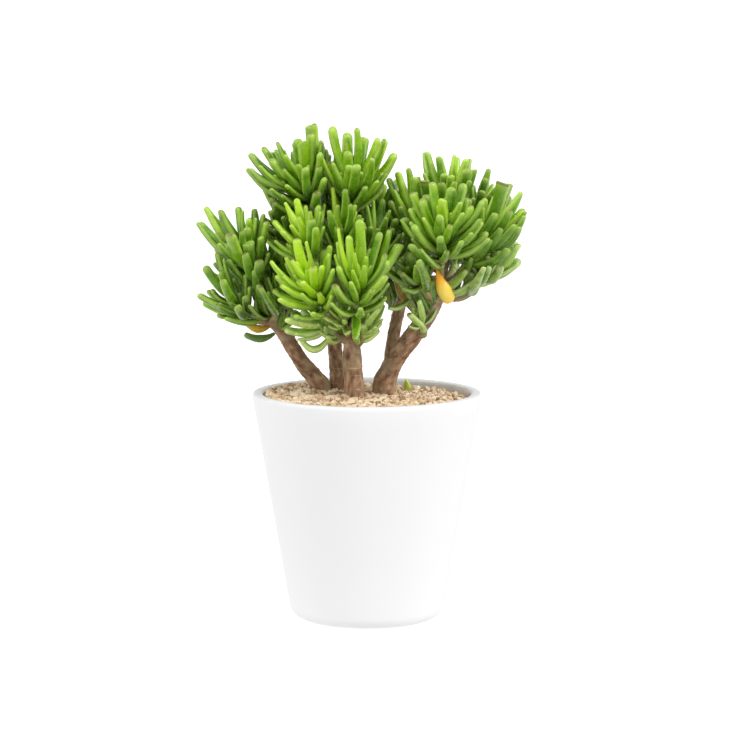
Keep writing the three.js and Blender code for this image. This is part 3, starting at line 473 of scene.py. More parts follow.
def at_depth(point: Numbers, depth: float) -> Numbers:
    """The point at a depth that the camera sees where it sees the point given."""
    ray = point - EYE
    return EYE + ray * ((depth - EYE[1]) / ray[1])


def seen_at(point: Numbers) -> tuple[float, float]:
    """Where the camera sees a point on the front plane: millimetres right, and above the rim."""
    flat = at_depth(point, 0)
    return float(flat[0]), float(flat[2] - POT_HEIGHT)


def outside(tip: Numbers) -> bool:
    """Whether a tip is seen in a place that stays bare."""
    right, up = seen_at(tip)
    return any(math.hypot(right - x, up - z) < reach for x, z, reach in BARE_PLACES)


def ring_angles(count: int) -> Numbers:
    """That many angles, evenly round a ring."""
    return np.arange(count) * 2 * math.pi / count


def with_play(share: tuple[float, float], drawn: float) -> float:
    """A share, and what a drawn number adds to it."""
    return share[0] + share[1] * drawn


class Draws:
    """A seeded source of numbers from 0 to 1, the same one that the solids were grown with."""

    def __init__(self, seed: int) -> None:
        """Starts the source.

        Args:
            seed: Any whole number.
        """
        self.state = seed & 0xFFFFFFFF

    def __call__(self) -> float:
        """The next number."""
        mask = 0xFFFFFFFF
        self.state = (self.state + 0x6D2B79F5) & mask
        t = ((self.state ^ (self.state >> 15)) * (self.state | 1)) & mask
        t ^= (t + ((t ^ (t >> 7)) * (t | 61) & mask)) & mask
        return ((t ^ (t >> 14)) & mask) / 4294967296

    def between(self, low: float, high: float) -> float:
        """The next number, spread from low to high."""
        return low + (high - low) * self()

    def either_way(self) -> float:
        """The next number, spread from -1 to 1."""
        return self.between(-1, 1)


def draws_for(index: int, seed: tuple[int, int]) -> Draws:
    """The draws of one shoot, from its place in the table and a seed."""
    return Draws(seed[0] * index + seed[1])


@dataclass
class Rods:
    """Straight rods that stand for wood and leaves, one row for each."""

    a: Numbers
    b: Numbers
    ra: Numbers
    rb: Numbers
    owner: Numbers
    kind: Numbers
    step: Numbers

    @staticmethod
    def of(ends: list[tuple], owner: int, kind: Kind) -> "Rods":
        """Rods from their ends and radii.

        Args:
            ends: For each rod its two ends and the radius at each, and its step along the leaf.
            owner: The number of the piece that the rods belong to.
            kind: What the rods stand for.

        Returns:
            The rods, in the order given.
        """
        count = len(ends)
        columns = [np.array([row[k] for row in ends], float) for k in range(5)]
        return Rods(*columns[:4], np.full(count, owner), np.full(count, int(kind)), columns[4])

    def with_more(self, more: "Rods") -> "Rods":
        """These rods and some more."""
        names = self.__dataclass_fields__
        return Rods(*(np.concatenate((getattr(self, n), getattr(more, n))) for n in names))


def air(mine: Rods, others: Rods) -> Numbers:
    """The air between each rod of one set and each of another, at the closest point of their middle lines.

    Args:
        mine: The first set of rods.
        others: The second set.

    Returns:
        Millimetres of air, one row for each rod of mine. Below nothing where two rods overlap.
    """
    d1 = (mine.b - mine.a)[:, None, :]
    d2 = (others.b - others.a)[None, :, :]
    r = mine.a[:, None, :] - others.a[None, :, :]
    a = (d1 * d1).sum(2)
    e = (d2 * d2).sum(2)
    b = (d1 * d2).sum(2)
    c = (d1 * r).sum(2)
    f = (d2 * r).sum(2)
    below = a * e - b * b
    s = np.where(below > 1e-9, np.clip((b * f - c * e) / np.maximum(below, 1e-9), 0, 1), 0)
    t = (b * s + f) / e
    s = np.where(t < 0, np.clip(-c / a, 0, 1), np.where(t > 1, np.clip((b - c) / a, 0, 1), s))
    t = np.clip(t, 0, 1)
    gap = np.linalg.norm(r + d1 * s[:, :, None] - d2 * t[:, :, None], axis=2)
    mine_radius = mine.ra[:, None] + (mine.rb - mine.ra)[:, None] * s
    return gap - mine_radius - (others.ra[None, :] + (others.rb - others.ra)[None, :] * t)


class Limb:
    """A trunk or a branch of one: a smooth line through given points, with a radius at each."""

    def __init__(self, table: list[tuple[float, float, float, float]]) -> None:
        """Takes the points.

        Args:
            table: x, y, height above the rim and radius of each point.
        """
        self.points = np.array([above_rim(row[:3]) for row in table])
        self.radii = [row[3] for row in table]
        self.spans = len(table) - 1

    def span_at(self, t: float) -> tuple[int, float]:
        """The span that t of the way along falls in, and how far along the span that is."""
        scaled = min(t, NEARLY_ONE) * self.spans
        return math.floor(scaled), scaled - math.floor(scaled)

    def at(self, t: float) -> Numbers:
        """The middle of the limb, t of the way along."""
        i, u = self.span_at(t)
        corners = [self.points[int(clamp(k, 0, self.spans))] for k in (i - 1, i, i + 1, i + 2)]
        weights = (
            (-u * u * u + 2 * u * u - u) / 2,
            (3 * u * u * u - 5 * u * u + 2) / 2,
            (-3 * u * u * u + 4 * u * u + u) / 2,
            (u * u * u - u * u) / 2,
        )
        return sum(weight * corner for weight, corner in zip(weights, corners))

    def along(self, t: float) -> Numbers:
        """The direction of the limb, t of the way along."""
        return unit(self.at(min(t + 0.01, 1)) - self.at(max(t - 0.01, 0)))

    def radius(self, t: float) -> float:
        """The radius of the limb, t of the way along."""
        i, u = self.span_at(t)
        return self.radii[i] + (self.radii[i + 1] - self.radii[i]) * u

    def nearest(self, point: Numbers) -> float:
        """How far along the limb it passes closest to a point."""
        gaps = [np.linalg.norm(self.at(k / LIMB_STEPS) - point) for k in range(LIMB_STEPS + 1)]
        return int(np.argmin(gaps)) / LIMB_STEPS

    def rods(self) -> Rods:
        """The rods that stand for the limb."""
        steps = RODS_PER_SPAN * self.spans
        spans = [(k / steps, (k + 1) / steps, k) for k in range(steps)]
        ends = [(self.at(s), self.at(t), self.radius(s), self.radius(t), k) for s, t, k in spans]
        return Rods.of(ends, -1, Kind.WOOD)


@dataclass
class Bend:
    """The curve from a to c that leans towards b."""

    a: Numbers
    b: Numbers
    c: Numbers

    def at(self, t: float) -> Numbers:
        """The point t of the way along."""
        return (1 - t) ** 2 * self.a + 2 * t * (1 - t) * self.b + t * t * self.c

    def along(self, t: float) -> Numbers:
        """The direction t of the way along."""
        return unit((1 - t) * (self.b - self.a) + t * (self.c - self.b))


@dataclass
class Leaf:
    """One leaf: its middle line, the direction across it, half its width, and what sets its looks."""

    bend: Bend
    side: Numbers
    half: float
    age: float = 0.5
    form: TipForm = TipForm.BLUNT
    tone: float | None = None

    def half_at(self, t: float) -> float:
        """Half the width, t of the way along: narrow at the foot, widest near the blunt tip."""
        rise = clamp(t / LEAF_WIDEST_AT, 0, 1)
        return self.half * (LEAF_FOOT_SHARE + (1 - LEAF_FOOT_SHARE) * rise * (2 - rise))

    def rods(self, owner: int) -> Rods:
        """The rods that stand for the leaf."""
        ends = [
            (self.bend.at(s), self.bend.at(t), self.half_at(s), self.half_at(t), k)
            for k, (s, t) in enumerate(zip(LEAF_ROD_ENDS, LEAF_ROD_ENDS[1:]))
        ]
        return Rods.of(ends, owner, Kind.LEAF)


class Shoot:
    """One shoot: its green stem, and the directions that its leaves are set out in."""

    def __init__(self, name: str, index: int, row: list) -> None:
        """Takes a row of the table of shoots.

        Args:
            name: The name of the shoot's node.
            index: The place of the shoot in the table, which seeds its draws.
            row: Limb, foot, top, leaf pairs, leaf length and seen tips.
        """
        limb, foot, top, pairs, leaf, seen = row
        self.name = name
        self.index = index
        self.limb = limb
        self.foot = above_rim(foot)
        self.top = above_rim(top)
        self.axis = unit(self.top - self.foot)
        self.length = float(np.linalg.norm(self.top - self.foot))
        self.pairs = pairs
        self.leaf = leaf
        self.seen = seen
        self.draw = draws_for(index, GROWTH_SEED)
        self.turn = self.draw() * 180
        self.east = unit(np.cross(FRONT, self.axis))
        self.north = np.cross(self.axis, self.east)
        self.leaves: list[Leaf] = []

    def seen_leaf(self, tip_row: list, attempt: tuple, draws: list[float]) -> Leaf:
        """The leaf whose tip is seen at a place from the front.

        Args:
            tip_row: Millimetres right and up of the tip, and its lean.
            attempt: More lean, and millimetres further down the stem.
            draws: Two drawn numbers, for its length and its width.

        Returns:
            The leaf.
        """
        right, up, lean = tip_row
        lean_more, drop = attempt
        length = self.leaf * with_play(SEEN_LENGTH, draws[0])
        flat_tip = above_rim((right, 0, up))
        side = clamp(lean + lean_more, -1, 1)
        root = self.top
        tip = flat_tip
        for _ in range(6):
            flat = math.hypot(tip[0] - root[0], tip[2] - root[2])
            deep = root[1] + side * math.sqrt(max(0, length * length - flat * flat))
            tip = at_depth(flat_tip, deep)
            spread = angle_between(tip - root, self.axis) / DEGREE
            lowest = self.length - LOWEST_LEAF
            down = clamp(spread / 90 * lowest + drop, 0, lowest)
            root = self.top - self.axis * down
        chord = tip - root
        spread = angle_between(chord, self.axis)
        start = unit(unit(chord) - UP * (SEEN_SAG * math.sin(spread)))
        middle = root + start * (np.linalg.norm(chord) * 0.5)
        return self.finished(root, middle, tip, draws[1], spread / (OUTER_TILT * DEGREE))

    def pair_leaf(self, pair: float, second: int, attempt: tuple, draws: list[float]) -> Leaf:
        """A leaf of a pair.

        Args:
            pair: The pair's number, from the top of the stem down.
            second: 0 for the first leaf of the pair and 1 for the one across the stem.
            attempt: More azimuth and tilt in degrees, and a share of the length.
            draws: Four drawn numbers, for azimuth, tilt, length and width.

        Returns:
            The leaf.
        """
        turn_more, tilt_more, shorter = attempt
        age = pair / (self.pairs - 1) if self.pairs > 1 else 0
        down = age**0.85 * (self.length - LOWEST_LEAF)
        root = self.top - self.axis * down
        play = TURN_PLAY * (draws[0] - 0.5)
        turn = (self.turn + PAIR_TURN * pair + 180 * second + turn_more + play) * DEGREE
        opening = INNER_TILT + (OUTER_TILT - INNER_TILT) * age**0.8
        tilt = max(4, opening + tilt_more + TILT_PLAY * (draws[1] - 0.5)) * DEGREE
        grown = min(1, with_play(PAIR_GROWTH, pair))
        length = self.leaf * grown * shorter * with_play(PAIR_LENGTH, draws[2])
        out = self.east * math.cos(turn) + self.north * math.sin(turn)
        start = self.axis * math.cos(tilt) + out * math.sin(tilt)
        lift = PAIR_LIFT * math.sin(tilt)
        end = unit(start + UP * (lift * 0.7) + self.axis * (lift * 0.3))
        middle = root + start * (length * 0.5)
        tip = middle + end * (length * 0.5)
        return self.finished(root, middle, tip, draws[3], age)

    def finished(self, root: Numbers, middle: Numbers, tip: Numbers, size: float, age: float) -> Leaf:
        """A leaf along three points, turned so that its upper face looks to the stem."""
        chord = tip - root
        side = np.cross(chord, self.axis + UP * 0.3)
        length = float(np.linalg.norm(chord))
        if np.linalg.norm(side) < 0.2 * length:
            side = np.cross(chord, self.east)
        young = clamp(length / GROWN_LENGTH, YOUNGEST_WIDTH, 1)
        half = LEAF_HALF_WIDTH * young * with_play(LEAF_WIDTH, size)
        return Leaf(Bend(root, middle, tip), unit(side), half, clamp(age, 0, 1))


@dataclass
class Twig:
    """The twig that carries a shoot, from its limb to the foot of the stem."""

    bend: Bend
    shoot: Shoot

    @staticmethod
    def between(shoot: Shoot, limb: Limb) -> "Twig":
        """The twig from a limb to a shoot."""
        behind = shoot.foot - shoot.axis * TWIG_REACH
        a = limb.at(max(LOWEST_TWIG, limb.nearest(behind) - TWIG_LEAD))
        c = shoot.foot - shoot.axis * TWIG_SINK
        b = c - shoot.axis * (TWIG_BEND * float(np.linalg.norm(c - a)))
        return Twig(Bend(a, b, c), shoot)

    def rods(self) -> Rods:
        """The rods that stand for the twig and for the stem on it."""
        thick, thin = 0.9 * TWIG_ROOT_RADIUS, 1.1 * TWIG_RADIUS
        thirds = [(k / 3, (k + 1) / 3, k) for k in range(3)]
        ends = [(self.bend.at(s), self.bend.at(t), thick, thin, k) for s, t, k in thirds]
        stem = [(self.shoot.foot, self.shoot.top, TWIG_RADIUS, STEM_TIP_RADIUS, 0)]
        owner = self.shoot.index
        return Rods.of(ends, owner, Kind.TWIG).with_more(Rods.of(stem, owner, Kind.STEM))


@dataclass
class Plant:
    """The whole plant above and below the gravel, as lines and radii, before any mesh is made."""

    limbs: dict[str, Limb] = field(default_factory=dict)
    shoots: list[Shoot] = field(default_factory=list)
    twigs: list[Twig] = field(default_factory=list)
    odd: dict[str, Leaf] = field(default_factory=dict)
    between_step: float = 0.4
    between_turn: float = 137.5
    between_slack: float = 1.15
    between_width: float = 0.92
    between_first: float = 0.6
    between_last: float = 1.2
    between_rises: tuple[float, float] = (0, -14)
    more_sag: float = 0.05
    more_middle: float = 0.4
    more_furthest: float = 0.9
    more_leans: tuple[float, ...] = (0, 0.15, -0.15, 0.3, -0.3, 0.45, -0.45)
    deepest_overlap: float = 3.8
    foremost: float = -96

    def grow(self) -> None:
        """Grows limbs, twigs and leaves in the order that the solids grew in, then the leaves between."""
        self.limbs = {name: Limb(table) for name, table in LIMBS.items()}
        self.shoots = [Shoot(name, k, row) for k, (name, row) in enumerate(SHOOTS.items())]
        self.twigs = [Twig.between(shoot, self.limbs[shoot.limb]) for shoot in self.shoots]
        first, *others = [grown.rods() for grown in (*self.limbs.values(), *self.twigs)]
        self.rods = first
        for rods in others:
            self.rods = self.rods.with_more(rods)
        for k, (name, (foot, middle, tip, half)) in enumerate(ODD_LEAVES.items()):
            bend = Bend(above_rim(foot), above_rim(middle), above_rim(tip))
            self.odd[name] = Leaf(bend, unit(np.cross(bend.c - bend.a, FRONT)), half)
            self.rods = self.rods.with_more(self.odd[name].rods(ODD_OWNER + k))
        self.grow_seen()
        self.grow_pairs()
        self.grow_more()
        self.grow_between()

    def room(self, leaf: Leaf, owner: int, leaves_only: bool = False) -> float:
        """How much more air a leaf has round it than it needs.

        Args:
            leaf: The leaf.
            owner: The number of its shoot.
            leaves_only: Whether wood and stems don't count, for a leaf that grows out of them.

        Returns:
            Millimetres, at the tightest place. Below nothing where it comes too close.
        """
        mine = leaf.rods(owner)
        gaps = air(mine, self.rods)
        own = (self.rods.owner == owner)[None, :]
        kind = self.rods.kind[None, :]
        nearest = np.minimum(mine.step[:, None], self.rods.step[None, :])
        own_leaf = np.where(nearest == 0, PLENTY, gaps + np.where(nearest == 1, FOOT_OVERLAP, TIP_OVERLAP))
        own_twig = np.where(mine.step[:, None] == 0, PLENTY, gaps - WOOD_AIR)
        own_room = np.where(kind == Kind.STEM, PLENTY, np.where(kind == Kind.TWIG, own_twig, own_leaf))
        other_room = gaps - np.where(kind == Kind.LEAF, LEAF_AIR, WOOD_AIR)
        rooms = np.where(own, own_room, other_room)
        return float(np.where((kind != Kind.LEAF) & leaves_only, PLENTY, rooms).min())

    def keep(self, shoot: Shoot, leaf: Leaf) -> None:
        """Keeps a leaf, and its place in the air round the next ones."""
        shoot.leaves.append(leaf)
        self.rods = self.rods.with_more(leaf.rods(shoot.index))

    def settle(self, shoot: Shoot, leaves: Iterable[Leaf], slack: float = 0) -> bool:
        """Keeps the first leaf of several that has room."""
        for leaf in leaves:
            if self.room(leaf, shoot.index) > -slack:
                self.keep(shoot, leaf)
                return True
        return False

    def grow_seen(self) -> None:
        """Sets out the leaves whose tips are seen from the front."""
        for shoot in self.shoots:
            for tip in shoot.seen:
                draws = [shoot.draw(), shoot.draw()]
                self.settle(shoot, (shoot.seen_leaf(tip, attempt, draws) for attempt in SEEN_TRIES))

    def grow_pairs(self) -> None:
        """Sets out the leaf pairs, from the youngest down."""
        for pair in range(max(shoot.pairs for shoot in self.shoots)):
            for shoot in self.shoots:
                if pair >= shoot.pairs:
                    continue
                for second in (0, 1):
                    draws = [shoot.draw() for _ in range(4)]
                    leaves = (shoot.pair_leaf(pair, second, attempt, draws) for attempt in TRIES)
                    self.settle(shoot, leaves)

    def grow_more(self) -> None:
        """Adds the leaves of the scene's own table, each at the lean where it has most room."""
        for shoot in self.shoots:
            for row in MORE_LEAVES.get(shoot.name, []):
                furthest = self.more_furthest
                leans = [clamp(row[4] + more, -furthest, furthest) for more in self.more_leans]
                leaves = [self.more_leaf(shoot, row, lean) for lean in leans]
                leaves = [leaf for leaf in leaves if leaf.bend.c[1] > self.foremost] or leaves[1:2]
                rooms = [self.room(leaf, shoot.index, leaves_only=True) for leaf in leaves]
                fitting = [k for k, room in enumerate(rooms) if room > -self.between_slack]
                best = fitting[0] if fitting else int(np.argmax(rooms))
                if rooms[best] > -self.deepest_overlap:
                    self.keep(shoot, leaves[best])

    def more_leaf(self, shoot: Shoot, row: tuple[float, ...], lean: float) -> Leaf:
        """A leaf of the scene's own table.

        Args:
            shoot: The shoot that it grows on.
            row: Its row.
            lean: How far its tip leans back.

        Returns:
            The leaf, with its foot on the stem or twig where that passes closest to the row's foot.
        """
        tip_right, tip_up, foot_right, foot_up, _, width, tone, *more_sag = row
        twig, limb = self.twigs[shoot.index].bend, self.limbs[shoot.limb]
        line = [twig.at(k / 16) for k in range(6, 17)]
        line += [shoot.foot + (shoot.top - shoot.foot) * (k / 8) for k in range(9)]
        line += [limb.at(k / 24) + FRONT * (0.7 * limb.radius(k / 24)) for k in range(12, 25)]
        flat_foot = above_rim((foot_right, 0, foot_up))
        gaps = [np.linalg.norm(at_depth(point, 0) - flat_foot) for point in line]
        root = line[int(np.argmin(gaps))]
        flat_tip = above_rim((tip_right, 0, tip_up))
        tip = at_depth(flat_tip, root[1])
        for _ in range(4):
            flat = math.hypot(tip[0] - root[0], tip[2] - root[2])
            tip = at_depth(flat_tip, root[1] + lean * flat / math.sqrt(1 - lean * lean))
        drawn_foot = at_depth(flat_foot, root[1])
        hang = self.more_sag * float(np.linalg.norm(tip - root)) + (more_sag[0] if more_sag else 0)
        middle = drawn_foot + (tip - drawn_foot) * self.more_middle - UP * hang
        leaf = shoot.finished(root, middle, tip, 0.5, 0.5)
        leaf.half = width / 2
        leaf.tone = tone
        return leaf

    def grow_between(self) -> None:
        """Adds the leaves that the solids leave out: more of them between the pairs of each shoot."""
        for shoot in self.shoots:
            if shoot.name in SPARSE_SHOOTS:
                continue
            draw = draws_for(shoot.index, BETWEEN_SEED)
            steps = int((shoot.pairs - self.between_last) / self.between_step) * 2
            for step in range(steps):
                pair = self.between_first + self.between_step * step / 2
                turn = self.between_turn * step
                draws = [draw() for _ in range(4)]
                leaves = (
                    shoot.pair_leaf(pair, 0, (turn + more, tilt + rise, size), draws)
                    for rise in self.between_rises
                    for more, tilt, size in TRIES
                )
                leaves = (leaf for leaf in leaves if not outside(leaf.bend.c))
                if self.settle(shoot, leaves, self.between_slack):
                    shoot.leaves[-1].half *= self.between_width


def paint(code: str) -> tuple[float, float, float, float]:
    """A colour for a shader from its usual six-figure code."""
    parts = [int(code[k : k + 2], 16) / 255 for k in (1, 3, 5)]
    linear = [p / 12.92 if p <= 0.04045 else ((p + 0.055) / 1.055) ** 2.4 for p in parts]
    return (*linear, 1.0)


class Nodes:
    """The nodes of one tree, laid down in plain steps."""

    def __init__(self, tree: bpy.types.NodeTree) -> None:
        """Takes the tree."""
        self.tree = tree

    def feed(self, node: bpy.types.Node, key: str | int, value: object) -> None:
        """Sets an input of a node to a value, or links it to another node's output."""
        if isinstance(value, Socket):
            self.tree.links.new(value, node.inputs[key])
        else:
            node.inputs[key].default_value = value

    def add(self, kind: str, inputs: dict, output: str | int = 0, **settings: object) -> Socket:
        """Adds a node.

        Args:
            kind: Its type, without the usual first word.
            inputs: Values for its inputs, or outputs of other nodes.
            output: The output that is wanted.
            **settings: The node's own settings.

        Returns:
            That output.
        """
        node = self.tree.nodes.new("ShaderNode" + kind)
        for key, setting in settings.items():
            setattr(node, key, setting)
        for key, value in inputs.items():
            self.feed(node, key, value)
        return node.outputs[output]

    def ramp(self, value: Socket, stops: list[tuple[float, Colour]]) -> Socket:
        """A colour from a row of stops."""
        colour = self.add("ValToRGB", {"Fac": value}, "Color")
        marks = colour.node.color_ramp.elements
        while len(marks) < len(stops):
            marks.new(0.5)
        for mark, (position, stop) in zip(marks, stops):
            mark.position = position
            mark.color = paint(stop) if isinstance(stop, str) else stop
        return colour


class Recipe(Nodes):
    """The nodes of one material."""

    def __init__(self, name: str) -> None:
        """Starts a material of that name with one principled shader."""
        self.material = bpy.data.materials.new(name)
        self.material.use_nodes = True
        super().__init__(self.material.node_tree)
        self.shader = self.tree.nodes["Principled BSDF"]
        self.place = self.add("TexCoord", {}, "Object")

    def value(self, name: str) -> Socket:
        """A number that the mesh holds for each point."""
        return self.add("Attribute", {}, "Fac", attribute_name=name)

    def vector(self, name: str) -> Socket:
        """A vector that the mesh holds for each point."""
        return self.add("Attribute", {}, "Vector", attribute_name=name)

    def noise(self, scale: float, detail: float = 2, at: Socket | None = None) -> Socket:
        """Soft noise, so many lumps to the metre."""
        return self.add("TexNoise", {"Vector": at or self.place, "Scale": scale, "Detail": detail}, "Fac")

    def maths(self, word: str, first: object, second: object) -> Socket:
        """One sum on two numbers, kept between 0 and 1."""
        return self.add("Math", {0: first, 1: second}, operation=word, use_clamp=True)

    def spread(
        self, value: Socket, low: float, high: float, to_low: float = 0, to_high: float = 1
    ) -> Socket:
        """A number moved smoothly from one range to another."""
        ranges = {"From Min": low, "From Max": high, "To Min": to_low, "To Max": to_high}
        return self.add("MapRange", {"Value": value, **ranges}, "Result", interpolation_type="SMOOTHSTEP")

    def mix(self, amount: object, first: Colour | Socket, second: Colour | Socket) -> Socket:
        """Two colours mixed."""
        colours = [paint(colour) if isinstance(colour, str) else colour for colour in (first, second)]
        return self.add("Mix", {0: amount, 6: colours[0], 7: colours[1]}, 2, data_type="RGBA")

    def bump(self, height: Socket, depth: float, strength: float = 1) -> Socket:
        """A surface roughened by a height, so many metres deep."""
        return self.add("Bump", {"Height": height, "Distance": depth, "Strength": strength}, "Normal")

    def finish(self, **inputs: object) -> bpy.types.Material:
        """Gives the shader its inputs, each under its label in lower case with _ for a space.

        Args:
            **inputs: Values, or outputs of other nodes.

        Returns:
            The finished material.
        """
        labels = {socket.name.lower().replace(" ", "_"): socket.name for socket in self.shader.inputs}
        for key, value in inputs.items():
            self.feed(self.shader, labels[key], value)
        return self.material


@dataclass(frozen=True)
class LeafFinish:
    """Waxy leaf skin: brighter when young, greyer outside, with a brown tip. Painted shade darkens each
    leaf towards its foot, and the pale margins are partly the leaf's own colour and partly painted
    highlight.
    """

    name: str = "leaf_skin"
    deep: str = "#2b5006"
    fresh: str = "#659806"
    lime: str = "#b2da08"
    bloom: str = "#7c9f46"
    # The colour of the pale margins and tip caps: the leaf's own colour, and on the margins also a painted
    # highlight.
    margin: str = "#c2dc66"
    foot: str = "#a6be40"
    mark: str = "#6b5238"
    end: str = ""
    roughness: float = 0.27

    def material(self) -> bpy.types.Material:
        """The material."""
        r = Recipe(self.name)
        along = r.value("along")
        inner = r.spread(r.value("inner"), -0.5, 0.7)
        patches = r.noise(140, 3)
        tone = r.maths("ADD", r.value("tone"), r.spread(patches, 0.3, 0.7, -0.1, 0.1))
        # Painted shade: each leaf's green darkens towards its foot, where the leaves crowd round the stem,
        # and lightens a little towards the tip.
        tone = r.maths("ADD", tone, r.spread(along, 0.1, 0.8, -0.14, 0.05))
        colour = r.ramp(tone, [(0.0, self.deep), (0.5, self.fresh), (1.0, self.lime)])
        if self.end:
            colour = r.mix(r.spread(along, 0.2, 0.85), colour, self.end)
        blooming = r.spread(patches, 0.3, 0.8, 0.05, 0.35)
        colour = r.mix(r.maths("MULTIPLY", r.maths("SUBTRACT", 1.0, inner), blooming), colour, self.bloom)
        # Pale margins along both sides of each leaf: partly the leaf's own colour and partly a painted
        # highlight. The pale tip caps are the leaf's own colour.
        edge_and_highlight = r.spread(r.value("margin"), 0.66, 0.97, 0, 0.5)
        tip = r.spread(along, 0.86, 0.97, 0, 0.35)
        colour = r.mix(r.maths("MAXIMUM", edge_and_highlight, tip), colour, self.margin)
        colour = r.mix(r.spread(along, 0.16, 0.0, 0, 0.4), colour, self.foot)
        colour = r.mix(r.spread(r.noise(1500, 1), 0.62, 0.72, 0, 0.22), colour, self.margin)
        colour = r.mix(r.value("mark"), colour, self.mark)
        return r.finish(
            base_color=colour,
            roughness=r.spread(patches, 0.2, 0.8, self.roughness - 0.06, self.roughness + 0.1),
            normal=r.bump(r.noise(900, 3), 0.0003, 0.35),
            specular_ior_level=0.5,
            subsurface_weight=0.08,
            subsurface_scale=0.003,
            subsurface_radius=(0.6, 1.0, 0.2),
        )


@dataclass(frozen=True)
class StemFinish:
    """Green stem between the leaves: pale yellow-green, browner at the rings that old leaves left."""

    name: str = "stem_skin"
    green: str = "#93ab52"
    pale: str = "#bccb82"
    ring: str = "#7d6a45"

    def material(self) -> bpy.types.Material:
        """The material."""
        r = Recipe(self.name)
        colour = r.mix(r.noise(260, 3), self.green, self.pale)
        colour = r.mix(r.spread(r.value("scar"), 0.35, 0.9, 0, 0.75), colour, self.ring)
        return r.finish(base_color=colour, roughness=0.6, normal=r.bump(r.noise(1200, 2), 0.0003, 0.5))


@dataclass(frozen=True)
class BarkFinish:
    """Bark: brown with fine cracks along the wood, pale rings of old leaf scars, greener on young twigs."""

    name: str = "bark"
    dark: str = "#6a4c38"
    brown: str = "#a07d60"
    tan: str = "#cba98a"
    grey: str = "#a3987a"
    red: str = "#a4603e"
    ring: str = "#e6d2b4"
    green: str = "#8a9a55"

    def material(self) -> bpy.types.Material:
        """The material."""
        r = Recipe(self.name)
        grain = r.vector("grain")
        cracks = r.noise(260, 4, grain)
        blotches = r.noise(75, 3)
        colour = r.ramp(cracks, [(0.3, self.dark), (0.5, self.brown), (0.7, self.tan)])
        colour = r.mix(r.spread(blotches, 0.45, 0.7, 0, 0.6), colour, self.grey)
        colour = r.mix(r.spread(r.noise(160, 2), 0.62, 0.75, 0, 0.45), colour, self.red)
        colour = r.mix(r.spread(r.value("scar"), 0.3, 0.9, 0, 0.65), colour, self.ring)
        colour = r.mix(r.value("young"), colour, self.green)
        relief = r.bump(r.noise(600, 5, grain), 0.0004, 0.5)
        return r.finish(base_color=colour, roughness=r.spread(cracks, 0.3, 0.7, 0.9, 0.68), normal=relief)


@dataclass(frozen=True)
class PebbleFinish:
    """Gravel: tan stones, some browner or paler, with a fine grain."""

    name: str = "gravel_stone"
    dark: str = "#8f7355"
    brown: str = "#ccab86"
    tan: str = "#edcfab"
    pale: str = "#f7e8d1"

    def material(self) -> bpy.types.Material:
        """The material."""
        r = Recipe(self.name)
        stops = [(0.0, self.dark), (0.18, self.brown), (0.55, self.tan), (1.0, self.pale)]
        grains = r.noise(650, 4)
        tone = r.maths("ADD", r.value("tone"), r.spread(grains, 0.3, 0.7, -0.26, 0.22))
        return r.finish(
            base_color=r.ramp(tone, stops),
            roughness=0.9,
            normal=r.bump(r.noise(900, 4), 0.0009, 0.9),
        )


@dataclass(frozen=True)
class EarthFinish:
    """Damp earth and grit."""

    name: str
    dark: str
    light: str

    def material(self) -> bpy.types.Material:
        """The material."""
        r = Recipe(self.name)
        grit = r.noise(420, 5)
        colour = r.ramp(grit, [(0.35, self.dark), (0.7, self.light)])
        return r.finish(base_color=colour, roughness=0.95, normal=r.bump(grit, 0.001, 0.8))


@dataclass(frozen=True)
class GlazeFinish:
    """White gloss glaze, unglazed and duller on the underside that it was fired on."""

    name: str = "white_glaze"
    glaze: str = "#e2e2e3"
    shade: str = "#e0e0e1"
    biscuit: str = "#d9d0c0"

    def material(self) -> bpy.types.Material:
        """The material."""
        r = Recipe(self.name)
        under = r.value("under")
        colour = r.mix(r.noise(14, 2), self.glaze, self.shade)
        colour = r.mix(under, colour, self.biscuit)
        return r.finish(
            base_color=colour,
            roughness=r.spread(under, 0, 1, 0.22, 0.85),
            normal=r.bump(r.noise(160, 2), 0.00015, 0.12),
            specular_ior_level=0.5,
        )


def linked(name: str, data: bpy.types.ID) -> bpy.types.Object:
    """A new object that shows a mesh, a light or a camera, linked to the scene."""
    made = bpy.data.objects.new(name, data)
    bpy.context.scene.collection.objects.link(made)
    return made


def hold(mesh: bpy.types.Mesh, name: str, data: Numbers) -> None:
    """Gives a mesh a number or a vector for each point, under the name that a material reads."""
    kind, slot = ("FLOAT", "value") if data.ndim == 1 else ("FLOAT_VECTOR", "vector")
    layer = mesh.attributes.new(name, kind, "POINT")
    layer.data.foreach_set(slot, data.astype(np.float32).ravel())


def smooth_over(mesh: bpy.types.Mesh) -> None:
    """Shades a mesh smooth all over."""
    mesh.polygons.foreach_set("use_smooth", np.ones(len(mesh.polygons), bool))


